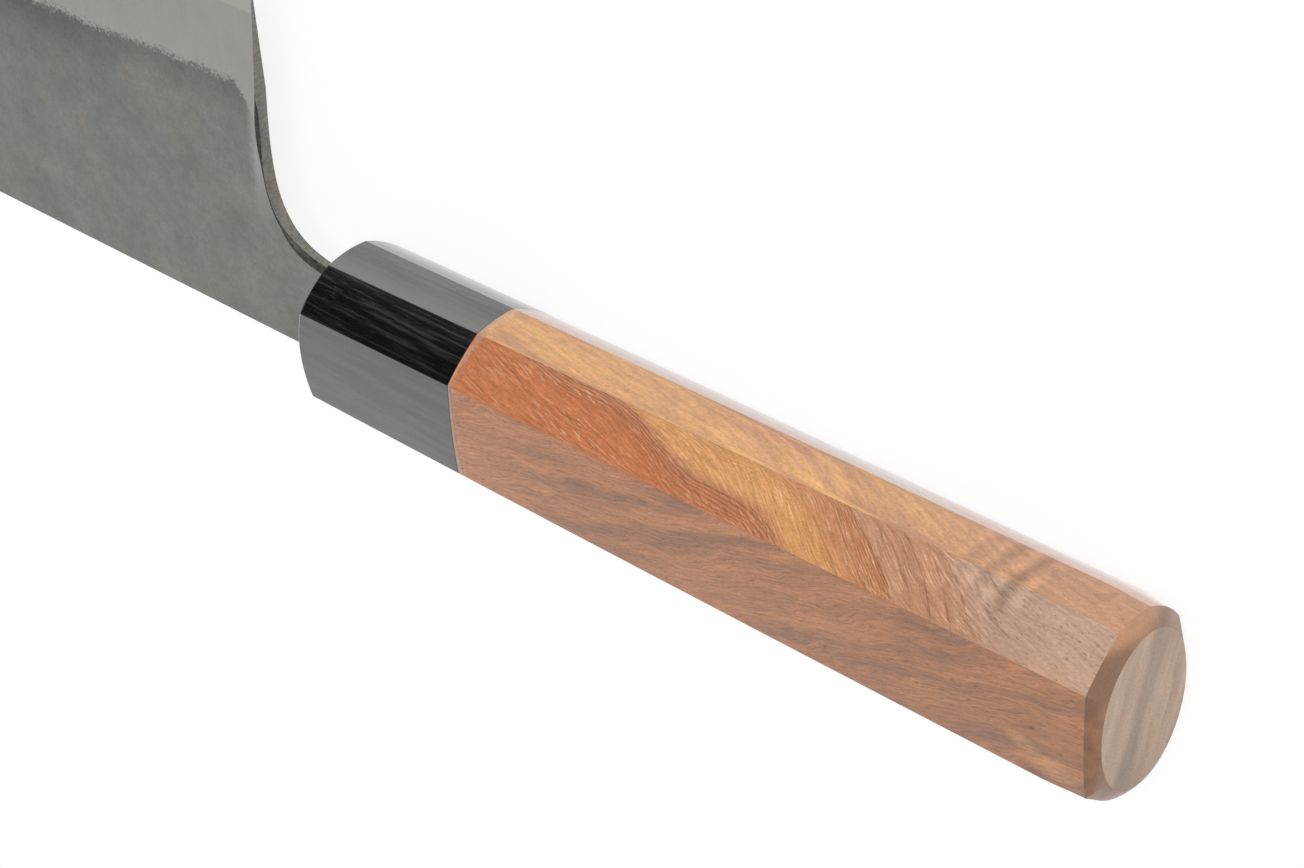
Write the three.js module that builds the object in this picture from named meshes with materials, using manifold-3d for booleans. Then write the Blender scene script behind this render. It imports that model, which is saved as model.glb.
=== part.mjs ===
// A nakiri, the straight-edged vegetable knife: a three-layer forged blade whose tang is hidden in an
// octagonal wooden handle with a black ferrule.
//
// Millimetres. The knife lies on its left side. X runs along the handle from the blade to the butt,
// Y points from the spine to the cutting edge and Z out of the right cheek. Every piece is built from
// the point on the handle's axis that is level with the ferrule's front corners, and the finished knife
// is then set down with its box centred over the origin and its lowest flat at Z = 0.

import * as THREE from 'three';
import { mergeVertices } from 'three/addons/utils/BufferGeometryUtils.js';
import Module from 'manifold-3d';

const wasm = await Module();
wasm.setup();

// Blade
const EDGE_LENGTH = 165; // cutting edge, heel corner to tip
const BLADE_HEIGHT = 56; // spine to cutting edge
const BLADE_THICKNESS = 2.05; // across both cheeks
const CORE_THICKNESS = 0.6; // hard steel layer in the middle
const EDGE_LAND = 0.1; // thickness left at the very edge
const BEVEL_HEIGHT = 16.4; // cutting edge up to the ground bevel's upper line
const SPINE_DROP = 8; // spine below the handle's axis
const EDGE_RISE = 2.5; // how far the edge curves up at the tip
const EDGE_RISE_LENGTH = 60; // stretch of edge that curves
const TIP_ROUND = 15; // radius of the tip's corner at the spine

// Heel, choil and neck
const NECK_LENGTH = 12.6; // ferrule's front corners to the heel
const NECK_HEIGHT = 14.8; // spine to choil where the neck goes into the ferrule
const HEEL_LEAN = 1.4; // how far the heel corner leans back towards the handle
const CHOIL_HEEL_PULL = 14.4; // how long the choil's curve keeps to the heel's direction
const CHOIL_NECK_PULL = 15.9; // how long it keeps to the neck's direction

// Tang
const NECK_DEPTH = 8; // how deep the neck stands in the ferrule, up to its shoulders
const TANG_LENGTH = 82; // shoulders to the tang's end
const TANG_ROOT_HEIGHT = 9;
const TANG_END_HEIGHT = 5;

// Handle, an octagon that grows taller towards the butt
const HANDLE_LENGTH = 127.5;
const HANDLE_THICKNESS = 18.92; // across the side flats, the same all along
const FRONT_HEIGHT = 22.3; // across the spine and edge flats, at the ferrule's front corners
const BUTT_HEIGHT = 26.15; // the same at the butt
const FRONT_SIDE_FLAT = 13.55; // width of a side flat at the ferrule's front corners
const BUTT_SIDE_FLAT = 15.95; // the same at the butt
const FRONT_EDGE_FLAT = 6.8; // width of the spine and edge flats at the ferrule's front corners
const BUTT_EDGE_FLAT = 6.05; // the same at the butt
const FERRULE_LENGTH = 27; // front corners to the grip
const NOSE_LENGTH = 1.2; // how far the ferrule's front face stands out past its corners
const NOSE_RADIUS = 25; // of the round shoulder between that face and the corners
const BUTT_BEVEL_LENGTH = 1.5; // the bevel round the butt, along the axis
const BUTT_BEVEL_HEIGHT = 2; // the same bevel, inwards from the spine and edge flats
const BUTT_BEVEL_SIDE = 1.1; // the same bevel, inwards from the side flats
const BUTT_SQUARENESS = 2.05; // power of the butt's oval, 2 would be an ellipse

// Inside the handle
const DOWEL_DIAMETER = 12;
const DOWEL_REACH = 6; // wood left in the dowel beyond the tang's bedding
const BEDDING = 0.5; // adhesive round the tang
const FIT_GAP = 0.25; // clearance between glued pieces

// How finely round stretches are cut
const FACET_STEPS = 4; // steps across each of the octagon's flats
const NOSE_STEPS = 64; // round the ferrule's nose and along it
const CURVE_STEPS = 40; // on the choil and on the tip's corner
const EDGE_STEPS = 16; // on the stretch of edge that curves
const DOWEL_SIDES = 32;
const CUT_MARGIN = 3; // how far a cutting solid runs past what it cuts

// Places worked out from those sizes
const edgeY = BLADE_HEIGHT - SPINE_DROP;
const neckY = NECK_HEIGHT - SPINE_DROP;
const heelX = HEEL_LEAN - NECK_LENGTH;
const tipX = heelX - EDGE_LENGTH;
const tangEndX = NECK_DEPTH + TANG_LENGTH;
const dowelFrontX = NECK_DEPTH + FIT_GAP;
const slotEndX = tangEndX + BEDDING;
const dowelEndX = slotEndX + DOWEL_REACH;
const coreStrip = (BEVEL_HEIGHT * (CORE_THICKNESS - EDGE_LAND)) / (BLADE_THICKNESS - EDGE_LAND);

// Turns a closed geometry into a solid that can be cut.
function solidOf(geometry) {
  const bare = geometry.clone();
  bare.deleteAttribute('normal');
  bare.deleteAttribute('uv');
  const merged = mergeVertices(bare);
  const vertProperties = new Float32Array(merged.attributes.position.array);
  const triVerts = new Uint32Array(merged.index.array);
  return new wasm.Manifold(new wasm.Mesh({ numProp: 3, vertProperties, triVerts }));
}

// Turns a cut solid back into a geometry with flat faces.
function geometryOf(solid) {
  const mesh = solid.getMesh();
  const indexed = new THREE.BufferGeometry();
  indexed.setAttribute('position', new THREE.BufferAttribute(mesh.vertProperties, 3));
  indexed.setIndex(new THREE.BufferAttribute(mesh.triVerts, 1));
  const geometry = indexed.toNonIndexed();
  geometry.computeVertexNormals();
  return geometry;
}

// Skins a row of rings, which run anticlockwise seen from +X and stand in order along +X, and closes
// both ends with a fan.
function loft(rings) {
  const count = rings[0].length;
  const points = rings.flat();
  const index = [];
  for (let ring = 0; ring + 1 < rings.length; ring += 1) {
    for (let i = 0; i < count; i += 1) {
      const a = ring * count + i;
      const b = ring * count + ((i + 1) % count);
      index.push(a, b, a + count);
      index.push(b, b + count, a + count);
    }
  }
  const last = (rings.length - 1) * count;
  for (let i = 1; i + 1 < count; i += 1) {
    index.push(0, i + 1, i);
    index.push(last, last + i, last + i + 1);
  }
  const geometry = new THREE.BufferGeometry().setFromPoints(points);
  geometry.setIndex(index);
  return geometry;
}

// A box from its lowest to its highest corner.
function boxBetween(low, high) {
  const geometry = new THREE.BoxGeometry(high[0] - low[0], high[1] - low[1], high[2] - low[2]);
  geometry.translate((low[0] + high[0]) / 2, (low[1] + high[1]) / 2, (low[2] + high[2]) / 2);
  return solidOf(geometry);
}

// A round bar along the handle's axis.
function barBetween(fromX, toX, diameter) {
  const radius = diameter / 2;
  const geometry = new THREE.CylinderGeometry(radius, radius, toX - fromX, DOWEL_SIDES);
  geometry.rotateZ(-Math.PI / 2);
  geometry.translate((fromX + toX) / 2, 0, 0);
  return solidOf(geometry);
}

// Half sizes of the handle's octagon at a place along its axis.
function handleSection(x) {
  const along = x / (HANDLE_LENGTH - BUTT_BEVEL_LENGTH);
  return {
    height: THREE.MathUtils.lerp(FRONT_HEIGHT, BUTT_HEIGHT, along) / 2,
    thickness: HANDLE_THICKNESS / 2,
    sideFlat: THREE.MathUtils.lerp(FRONT_SIDE_FLAT, BUTT_SIDE_FLAT, along) / 2,
    edgeFlat: THREE.MathUtils.lerp(FRONT_EDGE_FLAT, BUTT_EDGE_FLAT, along) / 2,
  };
}

// The octagon's outline at X, with extra points across each flat so that it can run into an oval.
function octagonRing(x, section) {
  const quarter = [
    [section.height, section.edgeFlat],
    [section.sideFlat, section.thickness],
  ];
  const corners = [
    quarter[0],
    quarter[1],
    [-quarter[1][0], quarter[1][1]],
    [-quarter[0][0], quarter[0][1]],
    [-quarter[0][0], -quarter[0][1]],
    [-quarter[1][0], -quarter[1][1]],
    [quarter[1][0], -quarter[1][1]],
    [quarter[0][0], -quarter[0][1]],
  ];
  const ring = [];
  corners.forEach((corner, i) => {
    const next = corners[(i + 1) % corners.length];
    for (let step = 0; step < FACET_STEPS; step += 1) {
      const share = step / FACET_STEPS;
      const y = THREE.MathUtils.lerp(corner[0], next[0], share);
      const z = THREE.MathUtils.lerp(corner[1], next[1], share);
      ring.push(new THREE.Vector3(x, y, z));
    }
  });
  return ring;
}

// The butt's oval: each point of the octagon is drawn in towards the axis.
function ovalRing(x, section) {
  const halfHeight = section.height - BUTT_BEVEL_HEIGHT;
  const halfThickness = section.thickness - BUTT_BEVEL_SIDE;
  return octagonRing(x, section).map((point) => {
    const power = BUTT_SQUARENESS;
    const sum = Math.abs(point.y / halfHeight) ** power + Math.abs(point.z / halfThickness) ** power;
    const draw = sum ** (-1 / power);
    return new THREE.Vector3(x, point.y * draw, point.z * draw);
  });
}

// The cutting edge's height: straight, then curving up to the tip.
function edgeAt(x) {
  const along = Math.max(0, (tipX + EDGE_RISE_LENGTH - x) / EDGE_RISE_LENGTH);
  return edgeY - EDGE_RISE * along ** 2;
}

// Places along the blade where its section is set out.
function bladeStations() {
  const stations = [];
  for (let step = 0; step <= EDGE_STEPS; step += 1) {
    stations.push(tipX + (EDGE_RISE_LENGTH * step) / EDGE_STEPS);
  }
  return [tipX - CUT_MARGIN, ...stations, tangEndX + CUT_MARGIN];
}

// Skins a section of the blade, given by a function of the edge's height, along its whole length.
function bladeSkin(sectionFor) {
  const rings = bladeStations().map((x) =>
    sectionFor(edgeAt(x)).map(([y, z]) => new THREE.Vector3(x, y, z)),
  );
  return solidOf(loft(rings));
}

// The blade's outline, spine, tip, heel, choil, neck and tang. Its lower side passes beyond the
// cutting edge, which the ground bevel forms.
function bladeOutline() {
  const spineY = -SPINE_DROP;
  const belowY = edgeY + CUT_MARGIN;
  const heelSlope = HEEL_LEAN / BEVEL_HEIGHT;
  const choilY = edgeY - BEVEL_HEIGHT;
  const rootY = TANG_ROOT_HEIGHT / 2;
  const endY = TANG_END_HEIGHT / 2;
  const outline = new THREE.Shape();
  outline.moveTo(NECK_DEPTH, spineY);
  outline.lineTo(NECK_DEPTH, -rootY);
  outline.lineTo(tangEndX, -endY);
  outline.lineTo(tangEndX, endY);
  outline.lineTo(NECK_DEPTH, rootY);
  outline.lineTo(NECK_DEPTH, neckY);
  outline.lineTo(0, neckY);
  outline.bezierCurveTo(
    -CHOIL_NECK_PULL,
    neckY,
    -NECK_LENGTH - heelSlope * CHOIL_HEEL_PULL,
    choilY - CHOIL_HEEL_PULL,
    -NECK_LENGTH,
    choilY,
  );
  outline.lineTo(heelX + heelSlope * CUT_MARGIN, belowY);
  outline.lineTo(tipX, belowY);
  outline.lineTo(tipX, spineY + TIP_ROUND);
  outline.absarc(tipX + TIP_ROUND, spineY + TIP_ROUND, TIP_ROUND, Math.PI, 1.5 * Math.PI, false);
  outline.closePath();
  return outline;
}

// The outline as a plate thick enough to trim any layer.
function bladePlate() {
  const depth = BLADE_THICKNESS + 2 * CUT_MARGIN;
  const geometry = new THREE.ExtrudeGeometry(bladeOutline(), {
    depth,
    bevelEnabled: false,
    curveSegments: CURVE_STEPS,
  });
  geometry.translate(0, 0, -depth / 2);
  return solidOf(geometry);
}

// The hard layer: parallel faces, then the edge strip that the bevel lays bare.
function coreSteel() {
  const half = CORE_THICKNESS / 2;
  const land = EDGE_LAND / 2;
  const backY = -SPINE_DROP - CUT_MARGIN;
  const skin = bladeSkin((edge) => [
    [backY, -half],
    [edge - coreStrip, -half],
    [edge, -land],
    [edge, land],
    [edge - coreStrip, half],
    [backY, half],
  ]);
  return geometryOf(skin.intersect(bladePlate()));
}

// A soft layer on one side of the core, ground to a feather edge where the core comes out.
function cladding(side) {
  const inner = CORE_THICKNESS / 2;
  const outer = BLADE_THICKNESS / 2;
  const backY = -SPINE_DROP - CUT_MARGIN;
  const skin = bladeSkin((edge) => {
    const section = [
      [backY, inner * side],
      [edge - coreStrip, inner * side],
      [edge - BEVEL_HEIGHT, outer * side],
      [backY, outer * side],
    ];
    return side > 0 ? section : section.reverse();
  });
  return geometryOf(skin.intersect(bladePlate()));
}

// A ball that rounds the ferrule's front and passes through its corners at X = 0.
function noseBall() {
  const cornerRadius = Math.hypot(FRONT_SIDE_FLAT, HANDLE_THICKNESS) / 2;
  const geometry = new THREE.SphereGeometry(NOSE_RADIUS, NOSE_STEPS, NOSE_STEPS);
  geometry.rotateZ(Math.PI / 2);
  geometry.translate(Math.sqrt(NOSE_RADIUS ** 2 - cornerRadius ** 2), 0, 0);
  return solidOf(geometry);
}

// The black front of the handle: a round nose, a slot for the neck, then a bore for the dowel.
function ferrule() {
  const rings = [-NOSE_LENGTH, FERRULE_LENGTH].map((x) => octagonRing(x, handleSection(x)));
  const halfSlot = BLADE_THICKNESS / 2 + FIT_GAP;
  const slot = boxBetween(
    [-NOSE_LENGTH - CUT_MARGIN, -SPINE_DROP - FIT_GAP, -halfSlot],
    [dowelFrontX, neckY + FIT_GAP, halfSlot],
  );
  const bore = barBetween(NECK_DEPTH, FERRULE_LENGTH + CUT_MARGIN, DOWEL_DIAMETER + 2 * FIT_GAP);
  const body = solidOf(loft(rings)).intersect(noseBall());
  return geometryOf(body.subtract(slot).subtract(bore));
}

// The brown grip: octagonal to the butt's bevel, with a blind bore for the dowel.
function handleBody() {
  const bevelX = HANDLE_LENGTH - BUTT_BEVEL_LENGTH;
  const rings = [
    octagonRing(FERRULE_LENGTH, handleSection(FERRULE_LENGTH)),
    octagonRing(bevelX, handleSection(bevelX)),
    ovalRing(HANDLE_LENGTH, handleSection(bevelX)),
  ];
  const bore = barBetween(
    FERRULE_LENGTH - CUT_MARGIN,
    dowelEndX + FIT_GAP,
    DOWEL_DIAMETER + 2 * FIT_GAP,
  );
  return geometryOf(solidOf(loft(rings)).subtract(bore));
}

// The space that the tang's bedding fills, from the dowel's front to a little past the tang.
function beddingBox(fromX) {
  const halfHeight = TANG_ROOT_HEIGHT / 2 + BEDDING;
  const halfWidth = BLADE_THICKNESS / 2 + BEDDING;
  return boxBetween([fromX, -halfHeight, -halfWidth], [slotEndX, halfHeight, halfWidth]);
}

// The hidden dowel, slotted from its front.
function tangDowel() {
  const bar = barBetween(dowelFrontX, dowelEndX, DOWEL_DIAMETER);
  return geometryOf(bar.subtract(beddingBox(dowelFrontX - CUT_MARGIN)));
}

// The adhesive in the dowel's slot, with a tapering pocket for the tang.
function tangBedding() {
  const rootY = TANG_ROOT_HEIGHT / 2 + FIT_GAP;
  const endY = TANG_END_HEIGHT / 2 + FIT_GAP;
  const taper = (rootY - endY) / TANG_LENGTH;
  const frontX = NECK_DEPTH - CUT_MARGIN;
  const frontY = rootY + taper * CUT_MARGIN;
  const backX = tangEndX + FIT_GAP;
  const pocket = new THREE.Shape();
  pocket.moveTo(frontX, -frontY);
  pocket.lineTo(backX, -endY);
  pocket.lineTo(backX, endY);
  pocket.lineTo(frontX, frontY);
  pocket.closePath();
  const geometry = new THREE.ExtrudeGeometry(pocket, { depth: BLADE_THICKNESS, bevelEnabled: false });
  geometry.translate(0, 0, -BLADE_THICKNESS / 2);
  return geometryOf(beddingBox(dowelFrontX).subtract(solidOf(geometry)));
}

// A named mesh with its finish.
function piece(name, geometry, color, roughness, metalness) {
  const mesh = new THREE.Mesh(geometry, new THREE.MeshStandardMaterial({ color, roughness, metalness }));
  mesh.name = name;
  return mesh;
}

const knife = new THREE.Group();
knife.add(
  piece('core_steel', coreSteel(), 0xaaa9a3, 0.35, 1),
  piece('right_cladding', cladding(1), 0x787874, 0.5, 0.9),
  piece('left_cladding', cladding(-1), 0x787874, 0.5, 0.9),
  piece('ferrule', ferrule(), 0x1d1d1b, 0.35, 0),
  piece('handle_body', handleBody(), 0x9a5f3a, 0.5, 0),
  piece('tang_dowel', tangDowel(), 0xc9a878, 0.7, 0),
  piece('tang_bedding', tangBedding(), 0xc8b27a, 0.4, 0),
);

const box = new THREE.Box3().setFromObject(knife);
knife.position.set(-(box.min.x + box.max.x) / 2, -(box.min.y + box.max.y) / 2, -box.min.z);

export default knife;
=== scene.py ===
"""Looks of a nakiri knife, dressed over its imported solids.

Shapes are set out in the knife's own axes, in millimetres from the point on the handle's axis that is level
with the ferrule's front corners: X runs along the handle to the butt, Y points to the cutting edge and Z out
of the right cheek, which lies uppermost.
"""

import logging
import math
from dataclasses import dataclass
from enum import Enum, IntEnum

import bmesh
import bpy
from mathutils import Matrix, Vector


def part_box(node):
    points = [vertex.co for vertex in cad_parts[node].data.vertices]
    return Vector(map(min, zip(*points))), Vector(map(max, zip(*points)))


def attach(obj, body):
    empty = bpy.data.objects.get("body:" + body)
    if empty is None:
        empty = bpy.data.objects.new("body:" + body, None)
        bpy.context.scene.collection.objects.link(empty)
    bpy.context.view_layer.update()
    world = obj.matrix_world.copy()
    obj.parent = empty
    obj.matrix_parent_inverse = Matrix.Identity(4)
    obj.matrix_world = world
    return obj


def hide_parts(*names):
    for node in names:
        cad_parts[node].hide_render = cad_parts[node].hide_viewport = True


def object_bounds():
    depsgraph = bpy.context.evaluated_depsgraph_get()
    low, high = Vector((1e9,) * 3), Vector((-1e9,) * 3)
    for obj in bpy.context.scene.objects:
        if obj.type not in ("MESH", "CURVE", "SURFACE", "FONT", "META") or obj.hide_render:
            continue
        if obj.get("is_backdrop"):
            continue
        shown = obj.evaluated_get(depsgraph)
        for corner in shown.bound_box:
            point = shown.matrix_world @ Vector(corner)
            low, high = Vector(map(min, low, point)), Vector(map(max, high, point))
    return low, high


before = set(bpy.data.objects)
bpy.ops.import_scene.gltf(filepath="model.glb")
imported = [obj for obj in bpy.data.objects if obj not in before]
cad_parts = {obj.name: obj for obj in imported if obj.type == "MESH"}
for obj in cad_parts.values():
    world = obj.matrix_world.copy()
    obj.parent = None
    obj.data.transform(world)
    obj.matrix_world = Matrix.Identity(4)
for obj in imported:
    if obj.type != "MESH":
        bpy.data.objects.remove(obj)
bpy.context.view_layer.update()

MM = 0.001
NOSE_LENGTH = 1.2
EVEN = math.inf  # size of a pattern along an axis where it stays the same
LOG = logging.getLogger("nakiri")

Colour = tuple[float, float, float]
Socket = bpy.types.NodeSocket
Input = float | tuple | Socket


def smooth_step(value: float, start: float, end: float) -> float:
    """Goes smoothly from 0 at the start to 1 at the end."""
    share = min(max((value - start) / (end - start), 0.0), 1.0)
    return share * share * (3 - 2 * share)


@dataclass(frozen=True)
class KnifeAxes:
    """The knife's own axes within the part's frame.

    Attributes:
        origin: Point on the handle's axis, level with the ferrule's front corners, in metres.
    """

    origin: Vector

    @classmethod
    def from_solids(cls) -> "KnifeAxes":
        """Finds the axes from the boxes of the handle's solids.

        Returns:
            The axes.
        """
        ferrule_low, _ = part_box("ferrule")
        grip_low, grip_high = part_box("handle_body")
        middle = (grip_low + grip_high) / 2
        return cls(Vector((ferrule_low.x + NOSE_LENGTH * MM, middle.y, middle.z)))

    def place(self, point: Vector) -> Vector:
        """Takes a point from knife millimetres to the part's frame."""
        return self.origin + point * MM

    def measure(self, point: Vector) -> Vector:
        """Takes a point from the part's frame to knife millimetres."""
        return (point - self.origin) / MM


class ShaderGraph:
    """A material's nodes, made by calls that hand sockets to each other."""

    def __init__(self, name: str, axes: KnifeAxes) -> None:
        """Starts a material with one shader, and a place in knife millimetres.

        Args:
            name: Name of the material.
            axes: The knife's axes, from which textures are measured.
        """
        self.material = bpy.data.materials.new(name)
        self.material.use_nodes = True
        self.nodes = self.material.node_tree.nodes
        self.links = self.material.node_tree.links
        self.nodes.clear()
        self.shader = self.nodes.new("ShaderNodeBsdfPrincipled")
        output = self.nodes.new("ShaderNodeOutputMaterial")
        self.links.new(self.shader.outputs["BSDF"], output.inputs["Surface"])
        self.point = self._knife_point(axes)
        split = self.nodes.new("ShaderNodeSeparateXYZ")
        self.plug(split.inputs["Vector"], self.point)
        self.x, self.y, self.z = split.outputs

    def _knife_point(self, axes: KnifeAxes) -> Socket:
        """Makes the surface point in knife millimetres.

        Args:
            axes: The knife's axes.

        Returns:
            The point's socket.
        """
        coordinates = self.nodes.new("ShaderNodeTexCoord")
        mapping = self.nodes.new("ShaderNodeMapping")
        mapping.inputs["Location"].default_value = -axes.origin / MM
        mapping.inputs["Scale"].default_value = (1 / MM, 1 / MM, 1 / MM)
        self.links.new(coordinates.outputs["Object"], mapping.inputs["Vector"])
        return mapping.outputs["Vector"]

    def plug(self, socket: Socket, value: Input) -> None:
        """Links a socket to another one, or sets it.

        Args:
            socket: The input to feed.
            value: An output to link, or a number, vector or colour to set.
        """
        if isinstance(value, Socket):
            self.links.new(value, socket)
        elif socket.type == "RGBA":
            socket.default_value = (*value, 1.0)
        else:
            socket.default_value = value

    def finish(self, **values: Input) -> None:
        """Feeds the shader's inputs, named in snake case.

        Args:
            **values: Inputs by name, such as base_color or roughness.
        """
        for name, value in values.items():
            title = name.replace("_", " ").title().replace("Ior", "IOR")
            self.plug(self.shader.inputs[title], value)

    def math(self, operation: str, *values: Input) -> Socket:
        """Makes one step of arithmetic.

        Args:
            operation: Name of the operation, such as ADD.
            *values: Its one to three operands.

        Returns:
            The result's socket.
        """
        node = self.nodes.new("ShaderNodeMath")
        node.operation = operation
        for socket, value in zip(node.inputs, values):
            self.plug(socket, value)
        return node.outputs["Value"]

    def total(self, *terms: Input) -> Socket:
        """Adds up any number of terms.

        Args:
            *terms: What is added.

        Returns:
            The sum's socket.
        """
        result = terms[0]
        for term in terms[1:]:
            result = self.math("ADD", result, term)
        return result

    def product(self, *terms: Input) -> Socket:
        """Multiplies any number of terms.

        Args:
            *terms: What is multiplied.

        Returns:
            The product's socket.
        """
        result = terms[0]
        for term in terms[1:]:
            result = self.math("MULTIPLY", result, term)
        return result

    def less(self, value: Input, taken: Input) -> Socket:
        """Takes one value from another."""
        return self.math("SUBTRACT", value, taken)

    def gap(self, value: Input, other: Input) -> Socket:
        """Makes the distance between two values."""
        return self.math("ABSOLUTE", self.less(value, other))

    def inverse(self, value: Input) -> Socket:
        """Takes a share from one."""
        return self.less(1.0, value)

    def vector(self, x: Input, y: Input, z: Input) -> Socket:
        """Joins three numbers into a vector.

        Args:
            x: Its part along X.
            y: Its part along Y.
            z: Its part along Z.

        Returns:
            The vector's socket.
        """
        node = self.nodes.new("ShaderNodeCombineXYZ")
        for socket, value in zip(node.inputs, (x, y, z)):
            self.plug(socket, value)
        return node.outputs["Vector"]

    def stretch(self, point: Input, x: float, y: float, z: float) -> Socket:
        """Scales a vector by its own factor along each axis.

        Args:
            point: The vector.
            x: Factor along X.
            y: Factor along Y.
            z: Factor along Z.

        Returns:
            The scaled vector's socket.
        """
        node = self.nodes.new("ShaderNodeVectorMath")
        node.operation = "MULTIPLY"
        self.plug(node.inputs[0], point)
        self.plug(node.inputs[1], (x, y, z))
        return node.outputs["Vector"]

    def step(self, value: Input, start: float, end: float, low: float = 0.0, high: float = 1.0) -> Socket:
        """Goes smoothly from one level to another.

        Args:
            value: What is measured.
            start: Where the low level ends.
            end: Where the high level begins.
            low: Level before the start.
            high: Level after the end.

        Returns:
            The level's socket.
        """
        node = self.nodes.new("ShaderNodeMapRange")
        node.interpolation_type = "SMOOTHSTEP"
        for name, level in zip(("Value", "From Min", "From Max", "To Min", "To Max"),
                               (value, start, end, low, high)):
            self.plug(node.inputs[name], level)
        return node.outputs["Result"]

    def noise(self, point: Input, size: float = 1.0, detail: float = 2.0, rough: float = 0.5) -> Socket:
        """Makes cloudy noise between 0 and 1.

        Args:
            point: Where the noise is read.
            size: Size of its clouds, in the point's units.
            detail: How many finer layers are added.
            rough: How strong the finer layers are.

        Returns:
            The noise's socket.
        """
        node = self.nodes.new("ShaderNodeTexNoise")
        for name, value in (("Vector", point), ("Scale", 1 / size), ("Detail", detail), ("Roughness", rough)):
            self.plug(node.inputs[name], value)
        return node.outputs[0]

    def patches(self, x: float, y: float, z: float, detail: float = 2.0, rough: float = 0.5) -> Socket:
        """Makes noise whose patches have a size of their own along each axis, in millimetres."""
        return self.noise(self.stretch(self.point, 1 / x, 1 / y, 1 / z), 1.0, detail, rough)

    def swing(self, noise: Socket, reach: float) -> Socket:
        """Turns noise round one half into a swing to either side of zero."""
        return self.product(self.less(noise, 0.5), 2 * reach)

    def ramp(self, share: Input, *stops: tuple[float, Colour]) -> Socket:
        """Colours a share between 0 and 1.

        Args:
            share: What is coloured.
            *stops: Places and their colours, in order.

        Returns:
            The colour's socket.
        """
        node = self.nodes.new("ShaderNodeValToRGB")
        elements = node.color_ramp.elements
        elements.remove(elements[1])
        for index, (position, colour) in enumerate(stops):
            element = elements[0] if index == 0 else elements.new(position)
            element.position = position
            element.color = (*colour, 1.0)
        self.plug(node.inputs["Fac"], share)
        return node.outputs["Color"]

    def blend(self, share: Input, under: Input, over: Input, mode: str = "MIX") -> Socket:
        """Lays one colour over another.

        Args:
            share: How much of the upper colour is taken.
            under: The lower colour.
            over: The upper colour.
            mode: How they are mixed.

        Returns:
            The colour's socket.
        """
        node = self.nodes.new("ShaderNodeMix")
        node.data_type = "RGBA"
        node.blend_type = mode
        for socket, value in zip((node.inputs[0], node.inputs[6], node.inputs[7]), (share, under, over)):
            self.plug(socket, value)
        return node.outputs[2]

    def shade(self, colour: Input, level: Input) -> Socket:
        """Makes a colour lighter or darker by a level round one."""
        return self.blend(1.0, colour, self.vector(level, level, level), "MULTIPLY")

    def relief(self, height: Socket, depth: float, strength: float = 1.0) -> None:
        """Gives the shader a relief.

        Args:
            height: Heights between 0 and 1.
            depth: What a height of 1 stands for, in millimetres.
            strength: Share of the relief that shows.
        """
        node = self.nodes.new("ShaderNodeBump")
        self.plug(node.inputs["Height"], height)
        self.plug(node.inputs["Distance"], depth * MM)
        self.plug(node.inputs["Strength"], strength)
        self.links.new(node.outputs["Normal"], self.shader.inputs["Normal"])


class Finish:
    """A surface finish, which paints a material of its own."""

    name = "finish"

    def paint(self, graph: ShaderGraph) -> None:
        """Fills in the material's nodes."""
        raise NotImplementedError

    def material(self, axes: KnifeAxes) -> bpy.types.Material:
        """Makes the material, measured from the knife's axes.

        Args:
            axes: The knife's axes.

        Returns:
            The material.
        """
        graph = ShaderGraph(self.name, axes)
        self.paint(graph)
        return graph.material


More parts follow.
